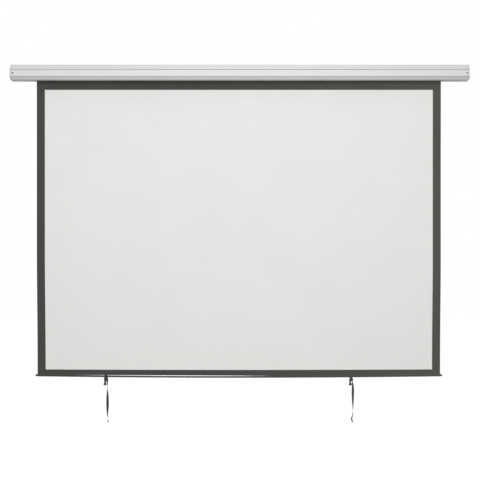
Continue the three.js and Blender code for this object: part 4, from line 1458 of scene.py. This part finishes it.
@dataclass
class Panel:
    """The hanging cloth in three layers: printed border, white cloth and black backing."""

    centre: float
    top: float
    bottom: float
    layers: dict[str, Pair]
    width: float = 2.0
    side_border: float = 0.040
    picture_top: float = -0.081
    sag: float = 0.0027
    draw_in: float = 0.004
    draw_in_share: float = 0.4
    tuck: float = 0.002
    wave: float = 0.0009
    slow_pitch: float = 0.71
    quick_pitch: float = 0.37
    quick_rise: float = 1.3
    quick_share: float = 0.45
    phase: float = 1.3
    sway: float = 0.9
    sway_pitch: float = 1.9
    fade_top: Pair = (0.06, 0.4)
    fade_hem: Pair = (0.02, 0.4)
    curl: float = 0.0012

    @classmethod
    def measured(cls) -> Panel:
        """Takes the places of the cloth and its layers from the frame.

        Returns:
            The panel.
        """
        low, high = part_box("screen_cloth")
        layers = {}
        for node in ("mask_border", "screen_cloth", "black_backing"):
            near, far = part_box(node)
            layers[node] = (near.y, far.y)
        return cls(centre=(low.x + high.x) / 2, top=high.z, bottom=low.z + cls.sag, layers=layers)

    def columns(self) -> Array:
        """Spaces the columns: closer in the borders, with one on each edge of the picture.

        Returns:
            The x of each column.
        """
        half, inner = self.width / 2, self.width / 2 - self.side_border
        edge = np.linspace(inner, half, 7)
        return np.concatenate([-edge[::-1], np.linspace(-inner, inner, 97)[1:-1], edge])

    def rows(self) -> Array:
        """Spaces the rows: the picture's top edge is one of them, and the last is tucked into the hem.

        Returns:
            The z of each row.
        """
        head = np.linspace(self.top, self.picture_top, 9)
        body = np.linspace(self.picture_top, self.bottom, 81)[1:]
        return np.concatenate([head, body, [self.bottom - self.tuck]])

    def surface(self) -> Array:
        """Works out the cloth's face as a grid, with its depth behind the flat plane as y.

        The width is drawn in by a smooth step towards the bar, and the lower edge sags by 1 - (x over half
        the bar)^2. The depth is two slow sine waves, faded out above and at the hem, and a curl of the side
        edges that grows with the square of the distance into them.

        Returns:
            The grid.
        """
        x, z = np.meshgrid(self.columns(), self.rows())
        half, inner = self.width / 2, self.width / 2 - self.side_border
        narrowed = self.draw_in * smooth(-z, -self.bottom * (1 - self.draw_in_share), -self.bottom)
        spread = x - np.sign(x) * narrowed * np.minimum(np.abs(x) / inner, 1.0)
        share = 1.0 - (spread / (half - self.draw_in)) ** 2
        hung = z - self.sag * share * smooth(-z, -self.bottom / 2, -self.bottom)
        calm = smooth(-z, *self.fade_top) * smooth(z, *(self.bottom + far for far in self.fade_hem))
        place = TURN * x / self.slow_pitch + self.phase
        slow = 1 + np.sin(place + self.sway * np.sin(TURN * z / self.sway_pitch))
        quick = 1 + np.sin(TURN * (x / self.quick_pitch - z / self.quick_rise))
        edge = np.clip((np.abs(x) - inner) / (half - inner), 0.0, 1.0) ** 2
        depth = calm * (self.wave * (slow + self.quick_share * quick) / 2 + self.curl * edge)
        return np.stack([spread + self.centre, depth, hung], axis=-1)

    def length(self) -> float:
        """Measures the cloth down its threads: the mean over its columns, to a millimetre."""
        steps = np.linalg.norm(np.diff(self.surface(), axis=0), axis=2)
        return round(float(steps.sum(axis=0).mean()), 3)

    def layer(self, node: str, kept: Array | None = None) -> Shell:
        """Makes one layer of the cloth between its own two depths."""
        front, back = (self.surface() + (0.0, depth, 0.0) for depth in self.layers[node])
        return Shell().slab(front, back, kept)

    def border_cells(self) -> Array:
        """Marks the cells of the border: both sides and the top, as far as the picture.

        Returns:
            True for each cell of the border, rows by columns.
        """
        x, z = self.columns(), self.rows()
        across = np.abs(x[:-1] + x[1:]) / 2 > self.width / 2 - self.side_border
        high = (z[:-1] + z[1:]) / 2 > self.picture_top
        return across[None, :] | high[:, None]

    def build(self, shop: Workshop) -> list[bpy.types.Object]:
        """Makes the three layers.

        Args:
            shop: where pieces are made.

        Returns:
            The white cloth first, then the border and the backing.
        """
        return [
            shop.make("picture_cloth", self.layer("screen_cloth"), "screen_cloth"),
            shop.make("printed_border", self.layer("mask_border", self.border_cells()), "mask_border"),
            shop.make("light_stop", self.layer("black_backing"), "black_backing"),
        ]


@dataclass
class WeightBar:
    """The hem with its rod pocket, and the plugs at the rod's ends."""

    centre: float
    depth: float
    height: float
    half: float
    sag: float = 0.007
    picture_sag: float = 0.0027
    rod: float = 0.005
    pocket_inner: float = 0.0053
    pocket_outer: float = 0.00585
    apex_share: float = 1.6
    strip: float = 0.00075
    lap: float = 0.00045
    lap_top: float = 0.0235
    top: float = 0.02885
    soft: float = 0.0002

    @classmethod
    def measured(cls) -> WeightBar:
        """Takes the rod's place from the frame.

        Returns:
            The bar.
        """
        low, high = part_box("weight_rod")
        x, y, _ = middle("weight_rod")
        return cls(centre=x, depth=y, height=low.z + cls.sag + cls.rod, half=(high.x - low.x) / 2)

    def outline(self) -> Array:
        """Draws the hem's section round the rod's centre.

        It is a strip whose front runs down to the rod, round it for three quarters of a turn, and up the
        back to a lap that is welded to the strip.

        Returns:
            The open outline's points.
        """
        lean = math.asin(1 / self.apex_share)
        radius, half, soft = self.pocket_outer, self.strip / 2, self.soft
        apex = radius * self.apex_share
        touch = (radius * math.cos(lean), radius * math.sin(lean))
        slope = (apex - touch[1]) / touch[0]
        lap = half + self.lap
        front = [
            (0.0, self.top, 0.0),
            (-half, self.top, soft),
            (-half, apex - half * slope, 0.004),
            (-touch[0], touch[1], 0.0),
        ]
        rear = [
            (touch[0], touch[1], 0.0),
            (lap, apex - lap * slope, 0.003),
            (lap, self.lap_top, soft),
            (half, self.lap_top + 2 * soft, soft),
            (half, self.top, soft),
            (0.0, self.top, 0.0),
        ]
        arc = radius * circle(np.linspace(math.pi - lean, TURN + lean, 41))
        return np.concatenate([rounded(front, 4, False), arc, rounded(rear, 4, False)])

    def bowed(self, outline: Array) -> Array:
        """Carries an outline along the bar and lets it sag.

        A point sinks by 1 - (x over half the bar)^2 times the bar's sag, and above the pocket that sag
        falls off evenly to the picture's own.

        Args:
            outline: (y, z) points round the rod's centre.

        Returns:
            A grid with a row for each station along the bar.
        """
        x = np.linspace(-self.half, self.half, 141)[:, None]
        low = self.pocket_outer * self.apex_share
        rise = np.clip((outline[:, 1] - low) / (self.top - low), 0.0, 1.0)
        share = 1.0 + (self.picture_sag / self.sag - 1.0) * rise
        drop = self.sag * share * (1.0 - (x / self.half) ** 2)
        grid = np.empty((len(x), len(outline), 3))
        grid[..., 0] = x + self.centre
        grid[..., 1] = outline[:, 0] + self.depth
        grid[..., 2] = outline[:, 1] + self.height - drop
        return grid

    def hem(self) -> Shell:
        """Makes the hem: its outside, the rod's tunnel at the same angles, and the two ends between them.

        Returns:
            The hem's shell.
        """
        outline = self.outline()
        tunnel = self.pocket_inner * circle(np.arctan2(outline[:, 1], outline[:, 0]))
        return Shell().walls(self.bowed(outline), self.bowed(tunnel))

    def plug(self, side: float) -> Shell:
        """Turns a rod plug with a rounded tip, tilted as the bar's end is.

        Args:
            side: -1 for the left plug and 1 for the right one.

        Returns:
            The plug's shell.
        """
        spigot, reach, length, tip = 0.0032, 0.012, 0.010, 0.72
        corners = [
            (-reach, 0.0, 0.0),
            (-reach, spigot, 0.0006),
            (0.0, spigot, 0.0),
            (0.0, self.rod, 0.0003),
            (length * 0.5, self.rod, 0.003),
            (length, self.rod * tip, 0.0012),
            (length, 0.0, 0.0),
        ]
        grid = turned(rounded(corners, 5, False), (0.0, 0.0, 0.0), Axis.X, 48)
        tilt = math.atan(2 * self.sag / self.half)
        along, up = grid[..., 0].copy(), grid[..., 2].copy()
        grid[..., 0] = side * (along * math.cos(tilt) - up * math.sin(tilt) + self.half + PLAY) + self.centre
        grid[..., 1] += self.depth
        grid[..., 2] = along * math.sin(tilt) + up * math.cos(tilt) + self.height
        return Shell().grid(grid)

    def build(self, shop: Workshop) -> bpy.types.Object:
        """Makes the hem and the two plugs.

        Args:
            shop: where pieces are made.

        Returns:
            The hem.
        """
        for word, side in (("left", -1), ("right", 1)):
            shop.make(f"{word}_rod_plug", self.plug(side), f"{word}_rod_cap")
        return shop.make("rod_hem", self.hem(), "hem_pocket")


@dataclass
class Tie:
    """A tape tied round the hem: a loop, a knot, a short tail and a long twisted tail.

    Each stop of the long tail has its x and z from the rod's centre and the tape's turn in degrees. The
    stops' y, in depths, is the same for both ties.
    """

    word: str
    leg_shares: tuple[float, ...]
    foot: float
    stops: tuple[Triple, ...]
    width: float = 0.0125
    gauge: float = 0.001
    loop: float = 0.00665
    loop_outer: float = 0.00715
    loop_fold: float = 0.0012
    apex_share: float = 1.6
    knot_drop: float = 0.027
    knot_half: Pair = (0.0100, 0.0034)
    knot_start: float = 0.6
    band_height: float = 0.008
    leg_width: float = 0.0094
    leg_away: float = 0.6
    drops: tuple[float, ...] = (0.0, 0.2, 0.4, 0.7, 1.0)
    depths: tuple[float, ...] = (
        0.0, 0.0002, 0.0004, 0.0006, 0.0007, 0.0008, 0.0008, 0.0007,
        0.0005, 0.0003, 0.0, -0.0003, -0.0006, -0.0009, -0.0012,
    )

    def centre(self) -> Array:
        """Finds the rod's centre at this tie from the loop's box.

        Returns:
            The centre's three coordinates.
        """
        place = middle(f"{self.word}_tie_loop")
        place[2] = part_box(f"{self.word}_tie_loop")[0].z + self.loop_outer
        return place

    def route(self) -> Array:
        """Gives the long tail's stops: x, y and z from the rod's centre, and the turn in degrees."""
        return np.insert(np.array(self.stops, dtype=float), 1, self.depths, axis=1)

    @staticmethod
    def across(degrees: Array) -> Array:
        """Gives the level direction at each angle: its cosine, its sine and no rise."""
        return np.column_stack([circle(np.radians(degrees)), np.zeros(len(degrees))])

    def loop_shell(self) -> Shell:
        """Wraps the loop: a circle drawn up to a rounded apex, both arcs sharing their tangents.

        Returns:
            The loop's shell.
        """
        lean = math.asin(1 / self.apex_share)
        high = self.loop * self.apex_share - self.loop_fold * self.apex_share
        big = self.loop * circle(np.linspace(math.pi - lean, TURN + lean, 49))
        small = self.loop_fold * circle(np.linspace(lean, math.pi - lean, 13)) + (0.0, high)
        path = at_x(np.concatenate([big, small, big[:1]]), 0.0) + self.centre()
        side = np.broadcast_to((1.0, 0.0, 0.0), path.shape)
        return Shell().ribbon(path, side, self.width, self.gauge)

    def knot(self) -> Shell:
        """Ties the knot: two legs of tape and a band that goes round them one and a quarter times.

        Each leg starts inside the loop and ends just inside its tail, turned and as wide as the tail is.

        Returns:
            The knot's shell.
        """
        centre, first = self.centre(), self.route()[0]
        leg_x = self.knot_half[0] - self.gauge / 2 - self.leg_width / 2
        high = self.gauge / 2 - self.loop_outer
        shares, drops = np.array(self.leg_shares), np.array(self.drops)
        shell = Shell()
        ends = {-1: (self.foot, 0.0, 0.0, self.leg_width), 1: (first[0], first[1], first[3], self.width)}
        for side, (end_x, end_y, end_turn, end_width) in ends.items():
            stops = np.zeros((len(drops), 5))
            stops[:, 0] = side * shares * leg_x
            stops[:, 1] = side * self.gauge * self.leg_away
            stops[:, 2] = high + (-self.knot_drop - high) * drops
            stops[:, 4] = self.leg_width
            stops[-1] = (end_x, end_y, -self.knot_drop - self.gauge, end_turn, end_width)
            curve = spline(stops, 49)
            shell.ribbon(curve[:, :3] + centre, self.across(curve[:, 3]), curve[:, 4], self.gauge)
        start = self.knot_start
        turn = np.linspace(start, start + 2.5 * math.pi, 97)
        over = self.gauge * smooth(turn, start + math.pi, start + TURN)
        level = (high - self.knot_drop) / 2 + self.gauge * (turn / math.pi - 1)
        reach = [half - self.gauge / 2 for half in self.knot_half]
        path = np.stack([(reach[0] + over) * np.cos(turn), (reach[1] + over) * np.sin(turn), level], axis=1)
        up = np.broadcast_to((0.0, 0.0, 1.0), path.shape)
        return shell.ribbon(path + centre, up, self.band_height, self.gauge)

    def short_tail(self) -> Shell:
        """Hangs the short tail: a narrow neck that opens to a cut end.

        Its depth bulges back by the square of the sine of its length.

        Returns:
            The tail's shell.
        """
        widths = np.array([self.leg_width, 0.0078, 0.0128, 0.015, 0.0152])
        drops = -np.array([self.knot_drop + 0.0003, 0.0322, 0.0365, 0.0405, 0.0455])
        stops = np.column_stack([np.full(len(drops), self.foot), np.zeros(len(drops)), drops, widths])
        curve = spline(stops, 33)
        curve[:, 1] -= 0.0012 * np.sin(np.linspace(0.0, math.pi, len(curve))) ** 2
        side = np.broadcast_to((1.0, 0.0, 0.0), (len(curve), 3))
        return Shell().ribbon(curve[:, :3] + self.centre(), side, curve[:, 3], self.gauge)

    def build(self, shop: Workshop) -> None:
        """Makes the tie's four pieces, among them its long tail, which turns about its middle.

        Args:
            shop: where pieces are made.
        """
        curve = spline(self.route(), 169)
        path = curve[:, :3] + self.centre()
        shell = Shell().ribbon(path, self.across(curve[:, 3]), self.width, self.gauge)
        tail = shop.make(f"{self.word}_long_tape", shell, f"{self.word}_tie_long_tail")
        others = [
            shop.make(f"{self.word}_tape_loop", self.loop_shell(), f"{self.word}_tie_loop"),
            shop.make(f"{self.word}_tape_knot", self.knot(), f"{self.word}_tie_knot"),
            shop.make(f"{self.word}_short_tape", self.short_tail(), f"{self.word}_tie_short_tail"),
        ]


TIES = (
    Tie(
        "left",
        leg_shares=(1, 1, 1, 1, 1),
        foot=-0.0046,
        stops=(
            (0.0064, -0.0273, 62), (0.0072, -0.042, 84), (0.0076, -0.056, 98), (0.0077, -0.07, 115),
            (0.0077, -0.084, 133), (0.0076, -0.098, 150), (0.0075, -0.112, 166), (0.0075, -0.127, 183),
            (0.0075, -0.142, 200), (0.0075, -0.156, 216), (0.0075, -0.17, 233), (0.0076, -0.185, 251),
            (0.0083, -0.199, 266), (0.0096, -0.213, 285), (0.0112, -0.2276, 310),
        ),
    ),
    Tie(
        "right",
        leg_shares=(-1, 0, 1, 1, 1),
        foot=-0.0037,
        stops=(
            (0.007, -0.0273, 105), (0.0086, -0.041, 122), (0.0092, -0.055, 140), (0.0093, -0.068, 162),
            (0.0093, -0.081, 180), (0.0093, -0.096, 197), (0.0093, -0.11, 210), (0.0094, -0.125, 222),
            (0.0095, -0.139, 234), (0.0096, -0.154, 247), (0.0096, -0.168, 259), (0.0088, -0.182, 270),
            (0.0062, -0.197, 281), (0.003, -0.2125, 294), (0.0084, -0.226, 308),
        ),
    ),
)


@dataclass
class InnerWorks:
    """The turn of cloth that stays on the roller and the terminal box beside the motor."""

    tube: float = 0.0213
    lap: float = 0.00025
    step: float = 0.02
    wall: float = 0.0012
    seam: float = 0.0006
    box_round: float = 0.0025
    split_share: float = 0.7

    def roll(self) -> Shell:
        """Winds the cloth: its radius shrinks evenly by the lap in one turn, so that its cut edge shows.

        Returns:
            The roll's shell.
        """
        low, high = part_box("cloth_wrap")
        _, y, z = middle("cloth_wrap")
        turn = np.linspace(0.0, TURN - self.step, 97)
        radius = (high.z - low.z) / 2 - self.lap * turn / TURN
        outside = circle(turn) * radius[:, None] + (y, z)
        inside = circle(turn) * self.tube + (y, z)
        return Shell().walls(*(loft([at_x(ring, x) for x in (low.x, high.x)]) for ring in (outside, inside)))

    def box(self) -> Shell:
        """Moulds the terminal box: rounded edges, and a seam between its base and its lid.

        Returns:
            The box's shell.
        """
        low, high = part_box("terminal_box")
        corners = oblong((low.y, low.z), (high.y, high.z), self.box_round)
        split = low.x + (high.x - low.x) * self.split_share
        ease = quarter(self.wall, 5)
        stations = [
            *((by, low.x + away) for by, away in ease),
            (0.0, split),
            (self.seam, split + self.seam / 2),
            (0.0, split + self.seam),
            *((by, high.x - away) for by, away in reversed(ease)),
        ]
        return Shell().column([at_x(rounded(inset(corners, by)), x) for by, x in stations])

    def build(self, shop: Workshop) -> None:
        """Makes the roll and the box."""
        shop.make("cloth_roll", self.roll(), "cloth_wrap")
        shop.make("terminal_housing", self.box(), "terminal_box")


@dataclass(frozen=True)
class Lamp:
    """A square lamp that faces its target."""

    name: str
    place: Triple
    target: Triple
    size: float
    power: float

    def hang(self) -> None:
        """Hangs the lamp in the scene."""
        data = bpy.data.lights.new(self.name, "AREA")
        data.shape = "SQUARE"
        data.size = self.size
        data.energy = self.power
        lamp = bpy.data.objects.new(self.name, data)
        lamp.location = self.place
        way = Vector(self.target) - Vector(self.place)
        lamp.rotation_euler = way.to_track_quat("-Z", "Y").to_euler()
        bpy.context.scene.collection.objects.link(lamp)


@dataclass
class Studio:
    """A pale floor, soft light from the front and the camera."""

    floor_height: float = -2.35
    floor_reach: float = 14.0
    floor_glow: float = 0.78
    floor_colour: Colour = (0.5, 0.5, 0.495)
    camera_place: Triple = (0.0012, -4.6266, -0.824)
    lens: float = 69.7
    sensor: float = 36.0
    ambient: float = 0.42
    lamps: tuple[Lamp, ...] = (
        Lamp("key", (0.0, -4.2, 0.35), (0.0, 0.0, -0.7), 3.6, 127.0),
        Lamp("top", (0.0, -0.9, 2.6), (0.0, 0.0, 0.0), 1.6, 16.0),
    )

    def camera(self) -> None:
        """Sets up the camera at the photograph's viewing angle, level and square to the screen."""
        data = bpy.data.cameras.new("camera")
        data.lens = self.lens
        data.sensor_width = self.sensor
        camera = bpy.data.objects.new("camera", data)
        camera.location = self.camera_place
        camera.rotation_euler = (QUARTER, 0.0, 0.0)
        bpy.context.scene.collection.objects.link(camera)
        bpy.context.scene.camera = camera

    def world(self) -> None:
        """Makes the background white where it is seen or mirrored, and a plain soft light elsewhere."""
        world = bpy.data.worlds.new("studio")
        world.use_nodes = True
        bpy.context.scene.world = world
        nodes = Nodes(world.node_tree)
        background = nodes.tree.nodes["Background"]
        background.inputs["Color"].default_value = (1.0, 1.0, 1.0, 1.0)
        strength = nodes.span(nodes.direct_rays(), self.ambient, 1.0, 0.0, 1.0)
        nodes.tree.links.new(strength, background.inputs["Strength"])

    def floor(self) -> None:
        """Lays the floor: it glows a little where it is seen, keeps the shadow and is clear from below."""
        across = np.linspace(-self.floor_reach, self.floor_reach, 9)
        y, x = np.meshgrid(across, across)
        mesh = Shell().grid(np.stack([x, y, np.full_like(x, self.floor_height)], axis=-1)).mesh("floor")
        if mesh.polygons[0].normal.z < 0.0:
            mesh.flip_normals()
        floor = bpy.data.objects.new("floor", mesh)
        bpy.context.scene.collection.objects.link(floor)
        recipe = Recipe("pale_floor")
        recipe.set(Roughness=0.9, Specular_IOR_Level=0.1, Emission_Color=(1.0, 1.0, 1.0, 1.0))
        mottle = recipe.noise(recipe.place(Place.OBJECT), 2.0, 2.0)
        recipe.tint(recipe.span(mottle, 0.0, 1.0), self.floor_colour, 0.01)
        recipe.feed("Emission Strength", recipe.sums("MULTIPLY", recipe.direct_rays(), self.floor_glow))
        under = recipe.node("ShaderNodeNewGeometry", {}, "Backfacing")
        clear = recipe.node("ShaderNodeBsdfTransparent", {})
        both = recipe.node("ShaderNodeMixShader", {0: under, 1: recipe.shader.outputs[0], 2: clear})
        recipe.tree.links.new(both, recipe.tree.nodes["Material Output"].inputs["Surface"])
        floor.data.materials.append(recipe.material)

    def build(self) -> None:
        """Sets up the light, the world and the floor."""
        for lamp in self.lamps:
            lamp.hang()
        self.world()
        self.floor()


def gather(layers: Sequence[bpy.types.Object]) -> None:
    """Gives each of the cloth's layers its own copy of its mesh.

    Args:
        layers: the cloth's layers.
    """
    for layer in layers:
        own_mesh(layer)


def main() -> None:
    """Builds the screen and its studio around the frame."""
    logging.basicConfig(level=logging.INFO, format="%(name)s: %(message)s")
    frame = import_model()
    shop = Workshop(frame)
    studio = Studio()
    studio.camera()
    for tie in TIES:
        tie.build(shop)
    Casing.measured().build(shop)
    for word in ("left", "right"):
        WallBracket(word).build(shop)
    panel = Panel.measured()
    layers = panel.build(shop)
    hem = WeightBar.measured().build(shop)
    InnerWorks().build(shop)
    gather(layers)
    panel.length()
    replaced = {node for node in shop.nodes if shop.nodes[node].hide_render}
    for node in sorted(set(shop.nodes) - replaced):
        shop.dress(node)
    studio.build()
    bpy.context.scene.view_settings.view_transform = "Standard"


if __name__ == "__main__":
    main()
